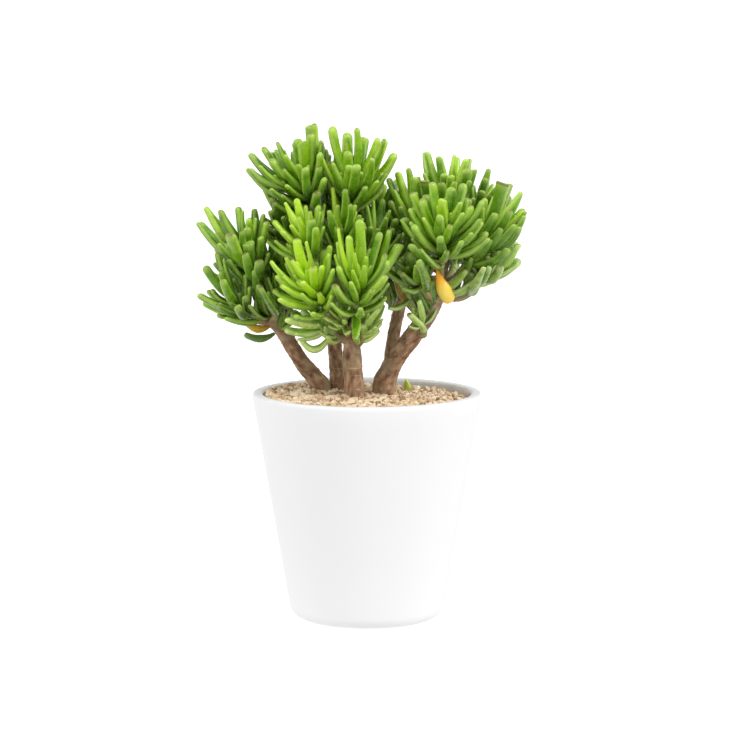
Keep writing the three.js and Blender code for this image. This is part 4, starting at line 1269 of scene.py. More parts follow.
@dataclass
class Skin:
    """A mesh in the making: points in millimetres, faces, and a number or vector for each point."""

    points: list[Numbers] = field(default_factory=list)
    faces: list[Numbers] = field(default_factory=list)
    kinds: list[Numbers] = field(default_factory=list)
    values: dict[str, list[Numbers]] = field(default_factory=dict)
    count: int = 0

    def add(self, points: Numbers, faces: list[Numbers], kind: int = 0, **values: Numbers) -> None:
        """Adds one closed body.

        Args:
            points: Its points.
            faces: Arrays of faces that count its points from 0, one array for each number of corners.
            kind: The place of its material in the object's list.
            **values: A number or a vector for each point, under the name that a material reads.
        """
        for name in self.values | values:
            rows = self.values.setdefault(name, [np.zeros(self.count)] if self.count else [])
            rows.append(values.get(name, np.zeros(len(points))))
        self.points.append(points)
        for block in faces:
            self.faces.append(block + self.count)
            self.kinds.append(np.full(len(block), kind))
        self.count += len(points)

    def to_object(self, name: str, materials: list[bpy.types.Material]) -> bpy.types.Object:
        """Makes the object, in metres and smooth all over.

        Args:
            name: Its name.
            materials: Its materials, in the order that the kinds count them.

        Returns:
            The object, linked to the scene.
        """
        mesh = bpy.data.meshes.new(name)
        corners = [row for block in self.faces for row in block.tolist()]
        mesh.from_pydata((np.concatenate(self.points) * MM).tolist(), [], corners)
        mesh.polygons.foreach_set("material_index", np.concatenate(self.kinds).astype(np.int32))
        smooth_over(mesh)
        for material in materials:
            mesh.materials.append(material)
        for key, rows in self.values.items():
            hold(mesh, key, np.concatenate(rows))
        mesh.validate()
        return linked(name, mesh)


def tube_faces(rings: int, sides: int) -> list[Numbers]:
    """The faces of a tube whose ends close on two points that come after its rings.

    Args:
        rings: How many rings the points make.
        sides: How many points a ring has.

    Returns:
        An array of four-cornered faces and one of three-cornered ones.
    """
    here = np.arange(sides)
    after = (here + 1) % sides
    first = np.arange(rings - 1)[:, None] * sides
    quads = np.stack((first + here, first + after, first + sides + after, first + sides + here), 2)
    foot, tip = rings * sides, rings * sides + 1
    last = (rings - 1) * sides
    caps = [(foot, b, a) for a, b in zip(here, after)]
    caps += [(tip, last + a, last + b) for a, b in zip(here, after)]
    return [quads.reshape(-1, 4), np.array(caps)]


def lattice(points: Numbers, size: float, seed: int) -> Numbers:
    """Smooth seeded noise from -1 to 1.

    Args:
        points: Places in millimetres, one row for each.
        size: The size of a lump in millimetres.
        seed: Any whole number.

    Returns:
        A number for each place.
    """
    scaled = points / size
    base = np.floor(scaled).astype(np.int64)
    part = scaled - base
    part = part * part * (3 - 2 * part)
    total = np.zeros(len(points))
    for corner in range(8):
        step = np.array([corner >> k & 1 for k in range(3)])
        key = (base + step) @ np.array((73856093, 19349663, 83492791)) + seed * 2654435761
        key = (key ^ (key >> 13)) * 1274126177 & 0xFFFFFFFF
        drawn = ((key ^ (key >> 16)) & 0xFFFFFFFF) / 0x7FFFFFFF - 1
        weight = np.prod(np.where(step, part, 1 - part), axis=1)
        total += weight * drawn
    return total


@dataclass
class RosetteSizes:
    """How finely leaves and stems are made. Lengths are in millimetres."""

    sides: int = 12
    stations: tuple[float, ...] = (
        0, 0.09, 0.19, 0.29, 0.39, 0.49, 0.59, 0.68, 0.76, 0.84, 0.905, 0.955)
    blunt: tuple[tuple[float, float], ...] = (
        (0.96, 0.27), (0.86, 0.52), (0.69, 0.74), (0.45, 0.9), (0.2, 0.98))
    cupped: tuple[tuple[float, float], ...] = (
        (1.03, 0.2), (0.97, 0.4), (0.8, 0.5), (0.58, 0.34), (0.3, 0.06))
    cupped_share: float = 0.012
    cup_reach: float = 4.0
    cupped_half: float = 3.2
    turn_reach: float = 1.5
    turned_middle: float = 0.4
    narrowest_tip: float = 0.42
    widest_tip: float = 1.0
    club_rarity: float = 1.8
    cup_flare: float = 0.1
    pinch: float = 0.0
    width: float = 0.95
    width_play: float = 0.08
    sag: float = 0.1
    sway: float = 0.07
    marked_share: float = 0.45
    most_marked: float = 0.85
    groove: float = 0.2
    groove_play: tuple[float, float] = (0.3, 1.2)
    slant: float = 0.3
    slant_play: tuple[float, float] = (-0.2, 1.2)
    taper_starts: tuple[float, float] = (0.3, 0.6)
    flatness_play: tuple[float, float] = (0.86, 1.04)
    twist: float = 0.5
    pinched_to: float = 0.75
    stem_sides: int = 14
    stem_step: float = 0.9
    stem_swelling: float = 0.35
    bud_tone: float = 0.3
    tone_play: float = 0.2


class Rosette:
    """The leafy shoot: fine leaves round a ringed green stem, with a bud of small leaves at the top."""

    def __init__(self, shoot: Shoot, tone: float, sizes: RosetteSizes) -> None:
        """Takes a grown shoot.

        Args:
            shoot: The shoot.
            tone: How bright its green is, from 0 to 1: partly its own green and partly painted light and
                shade.
            sizes: How finely to make it.
        """
        self.shoot = shoot
        self.tone = tone
        self.sizes = sizes
        self.draw = draws_for(shoot.index, FINE_SEED)
        self.skin = Skin()

    def build(self, materials: list[bpy.types.Material]) -> bpy.types.Object:
        """Makes the shoot as one object."""
        self.add_stem()
        for leaf in self.shoot.leaves:
            self.style(leaf)
            add_leaf(self.skin, leaf, self.sizes, self.draw, self.leaf_tone(leaf))
        for leaf in self.bud():
            add_leaf(self.skin, leaf, self.sizes, self.draw, clamp(self.tone + self.sizes.bud_tone, 0, 1))
        return self.skin.to_object(self.shoot.name.replace("shoot", "leaves"), materials)

    def style(self, leaf: Leaf) -> None:
        """Turns a few leaves to where they are seen, cups a few tips, and lets those that lean out hang."""
        s = self.sizes
        right, up = seen_at(leaf.bend.c)
        for x, z, new_x, new_z, *share in TURNED_TIPS:
            if math.hypot(right - x, up - z) < s.turn_reach:
                tip = at_depth(above_rim((new_x, 0, new_z)), leaf.bend.c[1])
                shift = tip - leaf.bend.c
                leaf.bend = Bend(leaf.bend.a, leaf.bend.b + shift * s.turned_middle, tip)
                leaf.half *= share[0] if share else 1
        nearest = min(math.hypot(right - x, up - z) for x, z in CUPPED_TIPS)
        is_cupped = nearest < s.cup_reach or self.draw() < s.cupped_share
        leaf.form = TipForm.CUPPED if is_cupped and leaf.half > s.cupped_half else TipForm.BLUNT
        chord = leaf.bend.c - leaf.bend.a
        length = float(np.linalg.norm(chord))
        outward = math.sin(angle_between(chord, self.shoot.axis))
        sideways = unit(leaf.side) * (s.sway * self.draw.either_way() * length)
        middle = leaf.bend.b - UP * (s.sag * outward * length) + sideways
        leaf.bend = Bend(leaf.bend.a, middle, leaf.bend.c)

    def leaf_tone(self, leaf: Leaf) -> float:
        """How bright one leaf is: the young ones more than the old."""
        play = self.sizes.tone_play
        if leaf.tone is None:
            tone = self.tone + 0.2 - 0.5 * leaf.age + play * self.draw.either_way()
        else:
            tone = leaf.tone + play / 2 * self.draw.either_way()
        return clamp(tone, 0.02, 0.98)

    def bud(self) -> list[Leaf]:
        """The smallest leaves, two pairs of them at the top of the stem."""
        leaves = []
        for pair in range(2):
            for second in (0, 1):
                turn = (self.shoot.turn + PAIR_TURN * (pair + 1) + 180 * second + 20) * DEGREE
                out = self.shoot.east * math.cos(turn) + self.shoot.north * math.sin(turn)
                length = 6 + 5 * pair
                root = self.shoot.top + self.shoot.axis * 0.3
                tip = root + self.shoot.axis * length + out * (1.5 + 1.6 * pair)
                middle = (root + tip) / 2 + out * 0.8
                side = unit(np.cross(tip - root, -out))
                leaves.append(Leaf(Bend(root, middle, tip), side, 1.5 + 0.5 * pair, 0))
        return leaves

    def add_stem(self) -> None:
        """Adds the stem, swollen at each pair and ringed below it."""
        s = self.sizes
        shoot = self.shoot
        rings = int(shoot.length / s.stem_step) + 3
        t = np.linspace(-1.2 / shoot.length, 1, rings)[:, None]
        angle = ring_angles(s.stem_sides)
        wave = np.cos(t * shoot.length / 2.6 + shoot.turn) ** 8
        radius = TWIG_RADIUS + (STEM_TIP_RADIUS - TWIG_RADIUS) * np.clip(t, 0, 1)
        radius = radius + s.stem_swelling * wave - 0.1
        across = np.cos(angle)[:, None] * shoot.east + np.sin(angle)[:, None] * shoot.north
        middle = shoot.foot + t * shoot.length * shoot.axis
        points = (middle[:, None, :] + radius[:, :, None] * across[None, :, :]).reshape(-1, 3)
        ends = np.array((middle[0] - shoot.axis * 0.4, shoot.top + shoot.axis * 1.4))
        scar = np.concatenate((np.broadcast_to(wave, (rings, s.stem_sides)).ravel(), (0, 0)))
        self.skin.add(np.concatenate((points, ends)), tube_faces(rings, s.stem_sides), 1, scar=scar)


def add_leaf(skin: Skin, leaf: Leaf, sizes: RosetteSizes, draw: Draws, tone: float) -> None:
    """Adds one fine leaf to a skin.

    Args:
        skin: The mesh in the making.
        leaf: The leaf.
        sizes: How finely to make it.
        draw: The source of its small differences.
        tone: How bright it is, from 0 to 1.
    """
    angle = ring_angles(sizes.sides)
    x, y = np.cos(angle), np.sin(angle)
    cup = float(leaf.form)
    twist = sizes.twist * draw.either_way()
    groove = sizes.groove * draw.between(*sizes.groove_play) * (1 + cup)
    slant = sizes.slant * draw.between(*sizes.slant_play) * (0.6 + cup)
    wobble = draw.between(*DRAWN_TURN)
    taper_from = draw.between(*sizes.taper_starts)
    tip_at = sizes.stations[-1]
    flat = LEAF_FLATNESS * draw.between(*sizes.flatness_play)
    fuller = draw() ** sizes.club_rarity
    tip_share = sizes.narrowest_tip + (sizes.widest_tip - sizes.narrowest_tip) * fuller
    tip_share += (1 + sizes.cup_flare - tip_share) * cup
    width = sizes.width * (1 + sizes.width_play * draw.either_way())
    marked = 1.5 * draw.either_way() + 1.5 * (2 * sizes.marked_share - 1)
    marked = clamp(marked, 0, sizes.most_marked)
    tips = zip(sizes.blunt, sizes.cupped)
    tip_rows = [(b[0] + (c[0] - b[0]) * cup, b[1] + (c[1] - b[1]) * cup) for b, c in tips]
    rows = [(t, 1.0, 0.0) for t in sizes.stations]
    rows += [(tip_at, share, height) for share, height in tip_rows]
    points, reaches, marks = [], [], []
    for t, share, height in rows:
        along = leaf.bend.along(t)
        flat_side = unit(leaf.side - along * (along @ leaf.side))
        flat_face = np.cross(flat_side, along)
        cos, sin = math.cos(twist * t), math.sin(twist * t)
        side, face = flat_side * cos + flat_face * sin, flat_face * cos - flat_side * sin
        taper = clamp((t - taper_from) / (tip_at - taper_from), 0, 1)
        narrowing = 1 - (1 - tip_share) * taper * taper * (2.2 - 1.2 * taper)
        waves = 1 + 0.04 * math.sin(5 * t + wobble) + 0.02 * math.sin(11 * t + 2 * wobble)
        pinch = 1 - sizes.pinch * (1 - clamp(t / sizes.pinched_to, 0, 1))
        half = width * leaf.half_at(t) * narrowing * share * waves * pinch
        hollow = groove * clamp((t - 0.2) / 0.5, 0, 1) * (1 - 0.6 * taper * (1 - cup))
        dip = hollow * np.exp(-((x / 0.5) ** 2)) * (y > 0)
        lean = -slant * y * clamp((t - 0.8) / 0.13, 0, 1) * share
        ring = leaf.bend.at(t) + np.outer(x * half, side) + np.outer((y * flat - dip) * half, face)
        points.append(ring + np.outer((height + lean) * leaf.half * tip_share, along))
        reaches.append(np.full(sizes.sides, t if height == 0 else tip_at + 0.04 * (1 - share)))
        blunt_mark = clamp((0.92 - share) / 0.5, 0, 1) if height else 0
        rim_mark = math.exp(-(((share - 1.0) / 0.12) ** 2)) if height else 0
        marks.append(np.full(sizes.sides, marked * (rim_mark if cup else blunt_mark)))
    along = leaf.bend.along(tip_at)
    end_height = rows[-1][2] + (-0.04 if cup else 0.02)
    end = leaf.bend.at(tip_at) + along * leaf.half * tip_share * end_height
    points.append(np.array((leaf.bend.a - leaf.bend.along(0) * 0.2, end)))
    count = len(rows) * sizes.sides + 2
    skin.add(
        np.concatenate(points),
        tube_faces(len(rows), sizes.sides),
        0,
        tone=np.full(count, tone),
        inner=np.concatenate((np.tile(y, len(rows)), (0, 0))),
        # Across each leaf, the mask of its pale margins, which are partly painted highlight.
        margin=np.concatenate((np.tile(np.abs(x), len(rows)), (0, 0))),
        along=np.concatenate((*reaches, (0, 1))),
        mark=np.concatenate((*marks, (0, marked * (0.3 if cup else 1)))),
    )


@dataclass
class Wood:
    """One trunk with its limbs and twigs, remeshed to one skin and carved with bark. Millimetres."""

    name: str
    limbs: list[Limb]
    twigs: list[Twig]
    sides: int = 20
    ring_step: float = 2.0
    grain_size: float = 0.85
    smoothing: int = 5
    ridge: float = 0.65
    scar_step: float = 6.2
    scar_play: float = 0.35
    scar_sharpness: int = 9
    crack: float = 0.22
    crack_size: float = 1.6
    lump: float = 0.5
    lump_size: float = 9
    slimmed: float = 0.5
    young_smoothness: float = 0.75
    block: int = 4000

    def lines(self) -> list[tuple[Numbers, Numbers, Numbers]]:
        """The middle line, radii and share of young wood of each limb and twig."""
        made = []
        for limb in self.limbs:
            length = np.linalg.norm(np.diff(limb.points, axis=0), axis=1).sum()
            t = np.linspace(0, 1, int(length / self.ring_step))
            radii = np.array([limb.radius(v) for v in t])
            made.append((np.array([limb.at(v) for v in t]), radii, 0.0 * t))
        for twig in self.twigs:
            ends = np.linalg.norm(twig.bend.c - twig.bend.a)
            t = np.linspace(0, 1, max(5, int(ends / self.ring_step)))
            radii = TWIG_ROOT_RADIUS + (TWIG_RADIUS - TWIG_ROOT_RADIUS) * t
            made.append((np.array([twig.bend.at(v) for v in t]), radii, t**1.5))
        return made

    def core(self) -> bpy.types.Object:
        """The limbs and twigs as plain tubes, remeshed to one smooth skin."""
        skin = Skin()
        angle = ring_angles(self.sides)
        for middles, radii, _ in self.lines():
            alongs = np.gradient(middles, axis=0)
            across = unit(np.cross(alongs[0], FRONT))
            rings = []
            for middle, radius, along in zip(middles, radii, alongs):
                along = unit(along)
                across = unit(across - along * (along @ across))
                face = np.cross(across, along)
                ring = np.outer(np.cos(angle), across) + np.outer(np.sin(angle), face)
                rings.append(middle + radius * ring)
            ends = [middles[0] - unit(alongs[0]) * 0.4, middles[-1] + unit(alongs[-1]) * 0.4]
            skin.add(np.concatenate((*rings, ends)), tube_faces(len(rings), self.sides))
        made = skin.to_object(self.name, [])
        remesh = made.modifiers.new("one_skin", "REMESH")
        remesh.mode = "VOXEL"
        remesh.voxel_size = self.grain_size * MM
        smooth = made.modifiers.new("soften", "SMOOTH")
        smooth.iterations = self.smoothing
        depsgraph = bpy.context.evaluated_depsgraph_get()
        mesh = bpy.data.meshes.new_from_object(made.evaluated_get(depsgraph))
        made.modifiers.clear()
        made.data = mesh
        return made

    def build(self, material: bpy.types.Material) -> bpy.types.Object:
        """Makes the trunk as one object."""
        made = self.core()
        mesh = made.data
        points, normals = np.zeros((2, 3 * len(mesh.vertices)))
        mesh.vertices.foreach_get("co", points)
        mesh.vertex_normals.foreach_get("vector", normals)
        points, normals = points.reshape(-1, 3) / MM, normals.reshape(-1, 3)
        travelled, young, around = self.along_lines(points)
        beat = travelled / self.scar_step + self.scar_play * lattice(points, 14, 3)
        ring = np.clip(np.cos(beat * 2 * math.pi), 0, 1) ** self.scar_sharpness
        scar = ring * (0.55 + 0.45 * lattice(points, 6, 5))
        grain = np.stack((around[:, 0], around[:, 1], travelled * 0.5), 1)
        cracks = self.crack * np.abs(lattice(grain, self.crack_size, 9))
        lift = self.ridge * scar + self.lump * lattice(points, self.lump_size, 7) - cracks
        lift = (lift - self.slimmed) * (1 - self.young_smoothness * young)
        points += normals * lift[:, None]
        mesh.vertices.foreach_set("co", (points * MM).ravel())
        hold(mesh, "scar", scar)
        hold(mesh, "young", np.clip(young * 1.1 - 0.25, 0, 0.85))
        hold(mesh, "grain", grain * MM)
        smooth_over(mesh)
        mesh.materials.clear()
        mesh.materials.append(material)
        mesh.update()
        return made

    def along_lines(self, points: Numbers) -> tuple[Numbers, Numbers, Numbers]:
        """Where each point of the skin lies along its nearest limb or twig.

        Args:
            points: Points of the skin.

        Returns:
            Millimetres along, the share of young wood, and the place round the middle line.
        """
        stations, travelled, young, radii = [], [], [], []
        for middles, widths, share in self.lines():
            steps = np.linalg.norm(np.diff(middles, axis=0), axis=1)
            stations.append(middles)
            travelled.append(np.concatenate(((0,), np.cumsum(steps))))
            young.append(share)
            radii.append(widths)
        middles = np.concatenate(stations)
        travelled, young, radii = (np.concatenate(rows) for rows in (travelled, young, radii))
        nearest = np.zeros(len(points), int)
        for start in range(0, len(points), self.block):
            some = slice(start, start + self.block)
            gaps = np.linalg.norm(points[some, None, :] - middles[None, :, :], axis=2) - radii
            nearest[some] = gaps.argmin(1)
        offset = points - middles[nearest]
        return travelled[nearest] + offset[:, 2] * 0.7, young[nearest], offset[:, :2]


def wall_radius(height: float) -> float:
    """Radius of the inside wall of the pot at a height, in millimetres."""
    share = (height - FLOOR_TOP) / (POT_HEIGHT - LIP_ROUND - FLOOR_TOP)
    return FLOOR_RADIUS + (MOUTH_RADIUS - FLOOR_RADIUS) * share


@dataclass
class Pot:
    """The glazed pot, turned round its axis. Millimetres."""

    sides: int = 160
    foot_steps: int = 10
    lip_steps: int = 28
    outer_corner: float = 0.42
    inner_corner: float = 0.75
    wall_steps: int = 16
    bare_height: float = 0.6

    def profile(self) -> list[tuple[float, float]]:
        """Radius and height from the middle of the underside, up the outside and down to the floor."""
        slope = math.atan2(RIM_RADIUS - TABLE_RADIUS, POT_HEIGHT - LIP_ROUND)
        foot_centre = TABLE_RADIUS + FOOT_ROUND * math.tan(slope) - FOOT_ROUND / math.cos(slope)
        rows = [(foot_centre * k / 4, 0.0) for k in range(1, 4)]
        for k in range(self.foot_steps + 1):
            turn = -math.pi / 2 + (math.pi / 2 - slope) * k / self.foot_steps
            rows.append((foot_centre + FOOT_ROUND * math.cos(turn), FOOT_ROUND * (1 + math.sin(turn))))
        low, lip_low = rows[-1], (RIM_RADIUS, POT_HEIGHT - LIP_ROUND)
        for k in range(1, self.wall_steps):
            share = k / self.wall_steps
            rows.append(tuple(a + (b - a) * share for a, b in zip(low, lip_low)))
        lip_foot = POT_HEIGHT - LIP_ROUND
        for k in range(self.lip_steps + 1):
            across, rise = math.cos(math.pi * k / self.lip_steps), math.sin(math.pi * k / self.lip_steps)
            corner = self.outer_corner if across > 0 else self.inner_corner
            out = math.copysign(abs(across) ** corner, across) * LIP_ROUND
            rows.append((RIM_RADIUS - LIP_ROUND + out, lip_foot + LIP_ROUND * rise**corner))
        for k in range(1, self.wall_steps):
            height = lip_foot + (FLOOR_TOP + 2 - POT_HEIGHT + LIP_ROUND) * k / self.wall_steps
            rows.append((wall_radius(height), height))
        return rows + [(FLOOR_RADIUS - 2, FLOOR_TOP), (FLOOR_RADIUS / 2, FLOOR_TOP)]

    def build(self, material: bpy.types.Material) -> bpy.types.Object:
        """Makes the pot as one object."""
        angle = ring_angles(self.sides)
        x, y, flat = np.cos(angle), np.sin(angle), np.ones(self.sides)
        rings = [np.stack((r * x, r * y, h * flat), 1) for r, h in self.profile()]
        points = np.concatenate((*rings, [(0, 0, 0), (0, 0, FLOOR_TOP)]))
        skin = Skin()
        under = np.clip(1 - points[:, 2] / self.bare_height, 0, 1)
        skin.add(points, tube_faces(len(rings), self.sides), under=under)
        return skin.to_object("glazed_pot", [material])


@dataclass
class Gravel:
    """The gravel: a bed of grit with single stones bedded in it, all round the trunks. Millimetres."""

    trunks: list[Limb]
    layers: tuple[tuple[str, float, float, float], ...] = (
        ("gravel_low", 4.8, -3.2, 0.85), ("gravel_top", 5.5, -0.5, 1))
    smallest: float = 2.1
    largest: float = 3.3
    shapes: int = 9
    cube_steps: int = 4
    row_step: float = 0.87
    shift: float = 0.3
    rim_air: float = 2.6
    trunk_air: float = 0.6
    bed_rings: int = 33
    bed_sides: int = 120
    bed_sink: float = 4
    bed_depth: float = 7
    dark_share: float = 0.07
    seed: int = 4021

    def level(self, x: Numbers, y: Numbers) -> Numbers:
        """The height of the bed: highest at the left and back left, lowest at the back right."""
        slope = 1.5 - 0.0165 * x - 0.006 * y - 0.0003 * x * y
        heap = 2.2 * np.clip(-x / 70, 0, 1) ** 1.5 * (0.75 + 0.25 * np.clip(y / 50, -1, 1))
        return GRAVEL_TOP + slope + heap + 0.6 * np.sin(x / 17 + 1) * np.cos(y / 21)

    def stone_shapes(self) -> tuple[list[Numbers], Numbers]:
        """Several stones of radius one, and the faces that they share."""
        n = self.cube_steps
        line = np.linspace(-1, 1, n + 1)
        corners: dict[tuple, int] = {}
        faces = []
        for axis in range(3):
            for sign in (-1, 1):
                for i in range(n):
                    for j in range(n):
                        square = [(i, j), (i + 1, j), (i + 1, j + 1), (i, j + 1)]
                        square = square if sign > 0 else square[::-1]
                        row = []
                        for u, v in square:
                            spot = [0.0, 0.0, 0.0]
                            spot[axis] = sign
                            spot[(axis + 1) % 3] = line[u]
                            spot[(axis + 2) % 3] = line[v]
                            row.append(corners.setdefault(tuple(np.round(spot, 5)), len(corners)))
                        faces.append(row)
        ball = np.array(list(corners))
        ball = ball / np.linalg.norm(ball, axis=1)[:, None] ** 0.8
        draw = Draws(self.seed + 1)
        made = []
        for k in range(self.shapes):
            stretch = np.array((1, draw.between(0.75, 0.95), draw.between(0.74, 0.9)))
            swell = 0.94 + 0.3 * lattice(ball + 7.3 * k, 0.75, k)
            swell = swell + 0.26 * lattice(ball + 3.1 * k, 0.4, k + 40)
            made.append(ball * swell[:, None] * stretch)
        return made, np.array(faces)

    def spots(self, spacing: float, draw: Draws) -> list[tuple[float, float]]:
        """Places for stones, shifted about on rows, inside the pot and outside the trunks."""
        reach = wall_radius(GRAVEL_TOP) - self.rim_air
        found = []
        rows = int(reach / (spacing * self.row_step)) + 1
        for j in range(-rows, rows + 1):
            for i in range(-rows - 2, rows + 3):
                x = (i + 0.5 * (j % 2)) * spacing + draw.between(-self.shift, self.shift) * spacing
                y = j * spacing * self.row_step + draw.between(-self.shift, self.shift) * spacing
                if math.hypot(x, y) <= reach and not self.in_trunk(x, y):
                    found.append((x, y))
        return found

    def in_trunk(self, x: float, y: float) -> bool:
        """Whether a place is inside a trunk at the level of the gravel."""
        stems = [(trunk.points[1], trunk.radii[1] + self.trunk_air) for trunk in self.trunks]
        return any(math.hypot(x - middle[0], y - middle[1]) < reach for middle, reach in stems)

    def bed(self, material: bpy.types.Material) -> bpy.types.Object:
        """The grit between and under the stones, as one closed layer."""
        radii = np.linspace(0, wall_radius(GRAVEL_TOP) - 0.3, self.bed_rings + 1)[1:]
        angle = ring_angles(self.bed_sides)
        flat = np.stack((np.cos(angle), np.sin(angle), 0 * angle), 1)
        top = np.concatenate([flat * r for r in radii])
        top[:, 2] = self.level(top[:, 0], top[:, 1]) - self.bed_sink + 0.5 * lattice(top, 2.4, 3)
        foot = GRAVEL_TOP - self.bed_depth
        rim = top[-self.bed_sides :] * (1, 1, 0) + np.array((0, 0, foot))
        points = np.concatenate((top, rim, [(0, 0, GRAVEL_TOP - 2.5), (0, 0, foot)]))
        faces = [block[:, ::-1] for block in tube_faces(len(radii) + 1, self.bed_sides)]
        skin = Skin()
        skin.add(points, faces)
        return skin.to_object("gravel_bed", [material])

    def stones(self, material: bpy.types.Material) -> list[bpy.types.Object]:
        """The stones, in a lower layer of small ones and an upper layer of large ones."""
        shapes, faces = self.stone_shapes()
        draw = Draws(self.seed)
        made = []
        for name, spacing, sink, scale in self.layers:
            skin = Skin()
            for x, y in self.spots(spacing, draw):
                size = draw.between(self.smallest, self.largest) * scale
                turn = turned(draw.between(*DRAWN_TURN), draw.between(-0.7, 0.7), draw.between(*DRAWN_TURN))
                shape = shapes[int(draw() * self.shapes) % self.shapes]
                height = float(self.level(np.float64(x), np.float64(y))) + sink + draw.between(-0.5, 0.6)
                light = draw() > self.dark_share
                tone = clamp(0.5 + 0.42 * draw.either_way(), 0, 1) if light else 0.02
                points = shape @ turn * size + np.array((x, y, height))
                skin.add(points, [faces], tone=np.full(len(points), tone))
            made.append(skin.to_object(name, [material]))
        return made


def turned(yaw: float, pitch: float, roll: float) -> Numbers:
    """A rotation as a matrix, from three angles in radians."""
    cy, sy, cp, sp, cr, sr = (f(v) for v in (yaw, pitch, roll) for f in (math.cos, math.sin))
    first = np.array(((cy, sy, 0), (-sy, cy, 0), (0, 0, 1)))
    second = np.array(((1, 0, 0), (0, cp, sp), (0, -sp, cp)))
    third = np.array(((cr, sr, 0), (-sr, cr, 0), (0, 0, 1)))
    return first @ second @ third


@dataclass
class Studio:
    """A pale floor, a card under the pot, a white surround, two wide soft suns and the camera."""

    floor_radius: float = 14.0
    floor_sides: int = 96
    floor_glow: float = 0.8
    shown: float = 1.03
    zenith: float = 1.0
    horizon: float = 0.72
    below: float = 1.0
    card_radius: float = 0.13
    card_height: float = -0.002
    card_glow: float = 0.09
    key_power: float = 1.8
    key_angles: tuple[float, float] = (60, 38)
    fill_power: float = 1.1
    fill_angles: tuple[float, float] = (-62, 38)
    softness: float = 28

    def build(self) -> None:
        """Makes all of it."""
        self.floor()
        self.card()
        self.world()
        self.sun("key_light", self.key_power, self.key_angles)
        self.sun("fill_light", self.fill_power, self.fill_angles)
        self.camera()

    def floor(self) -> None:
        """A wide round floor."""
        mesh = bpy.data.meshes.new("floor")
        angle = ring_angles(self.floor_sides)
        points = [(self.floor_radius * math.cos(a), self.floor_radius * math.sin(a), 0.0) for a in angle]
        mesh.from_pydata(points, [], [list(range(self.floor_sides))])
        finish = Recipe("pale_floor").finish(
            base_color=paint("#a8a8a8"),
            roughness=0.8,
            specular_ior_level=0.0,
            emission_color=(1.0, 1.0, 1.0, 1.0),
            emission_strength=self.floor_glow,
        )
        mesh.materials.append(finish)
        made = linked("floor", mesh)
        made.visible_diffuse = made.visible_glossy = made.visible_shadow = False

    def card(self) -> None:
        """A small bright card under the pot, unseen, that lights its foot as a white table would."""
        data = bpy.data.lights.new("card", "AREA")
        data.shape = "DISK"
        data.size = 2 * self.card_radius
        data.energy = self.card_glow * math.pi * math.pi * self.card_radius**2
        made = linked("card", data)
        made.location = (0, 0, self.card_height)
        made.rotation_euler = (math.pi, 0, 0)
        made.visible_camera = made.visible_glossy = False

    def world(self) -> None:
        """White all round to the camera. What lights the part is a little darker round the horizon."""
        world = bpy.data.worlds.new("surround")
        world.use_nodes = True
        bpy.context.scene.world = world
        nodes = Nodes(world.node_tree)
        shown = nodes.tree.nodes["Background"]
        nodes.feed(shown, "Color", (1, 1, 1, 1))
        nodes.feed(shown, "Strength", self.shown)
        rise = nodes.add("SeparateXYZ", {0: nodes.add("TexCoord", {}, "Generated")}, "Z")
        height = nodes.add("MapRange", {"Value": rise, "From Min": -1})
        levels = ((0.0, self.below), (0.46, self.below), (0.54, self.horizon), (1.0, self.zenith))
        sky = nodes.ramp(height, [(position, (level, level, level, 1)) for position, level in levels])
        lit = nodes.add("Background", {"Color": sky})
        seen = nodes.add("LightPath", {}, "Is Camera Ray")
        either = nodes.add("MixShader", {0: seen, 1: lit, 2: shown.outputs[0]})
        nodes.feed(nodes.tree.nodes["World Output"], "Surface", either)

    def sun(self, name: str, power: float, angles: tuple[float, float]) -> None:
        """A wide, soft sun.

        Args:
            name: Its name.
            power: Watts to the square metre.
            angles: Degrees to the right of the front, and above the floor.
        """
        light = bpy.data.lights.new(name, "SUN")
        light.energy = power
        light.angle = self.softness * DEGREE
        right, above = (angle * DEGREE for angle in angles)
        linked(name, light).rotation_euler = (math.pi / 2 - above, 0, right)

    def camera(self) -> None:
        """The camera, at the viewing angle of the reference."""
        data = bpy.data.cameras.new("camera")
        data.sensor_width = CAMERA_SENSOR
        data.lens = CAMERA_LENS
        data.clip_end = 100
        made = linked("camera", data)
        made.location = EYE * MM
        made.rotation_euler = (math.pi / 2 - CAMERA_PITCH * DEGREE, 0, 0)
        bpy.context.scene.camera = made
        bpy.context.scene.view_settings.view_transform = "Standard"


# How bright the green of each shoot is, from 0, deep, to 1, lime: partly the shoot's own green and partly
# painted light and shade, set to how lit or shaded each shoot looks. The rest are SHOOT_TONE.
SHOOT_TONE = 0.42
SHOOT_TONES_LIGHT_AND_SHADE: dict[str, float] = {
    "shoot_left_1": 0.48, "shoot_left_2": 0.3, "shoot_left_4": 0.34, "shoot_left_5": 0.4,
    "shoot_left_6": 0.36, "shoot_top_1": 0.45, "shoot_top_2": 0.62, "shoot_top_4": 0.3,
    "shoot_top_5": 0.36, "shoot_centre_1": 0.82, "shoot_centre_2": 0.6, "shoot_centre_3": 0.74,
    "shoot_centre_4": 0.6, "shoot_centre_5": 0.42, "shoot_centre_6": 0.62, "shoot_centre_7": 0.62,
    "shoot_centre_9": 0.6, "shoot_right_1": 0.5, "shoot_right_2": 0.54, "shoot_right_3": 0.6,
    "shoot_right_5": 0.45, "shoot_right_7": 0.36, "shoot_right_8": 0.5, "shoot_right_13": 0.36,
}

# How the names of shoots with broader leaves begin
BROAD_SHOOTS = ("shoot_top_1", "shoot_top_2", "shoot_top_4", "shoot_right", "shoot_left_1", "shoot_left_2")

# The low shoots, whose old leaves are paler with bloom, and whose greens are also made brighter as painted
# light, lifting them out of the shade of the crowns above
PALE_SHOOTS = (
    "shoot_centre_6", "shoot_centre_7", "shoot_centre_9", "shoot_right_5", "shoot_right_8",
    "shoot_right_11", "shoot_right_12",
)
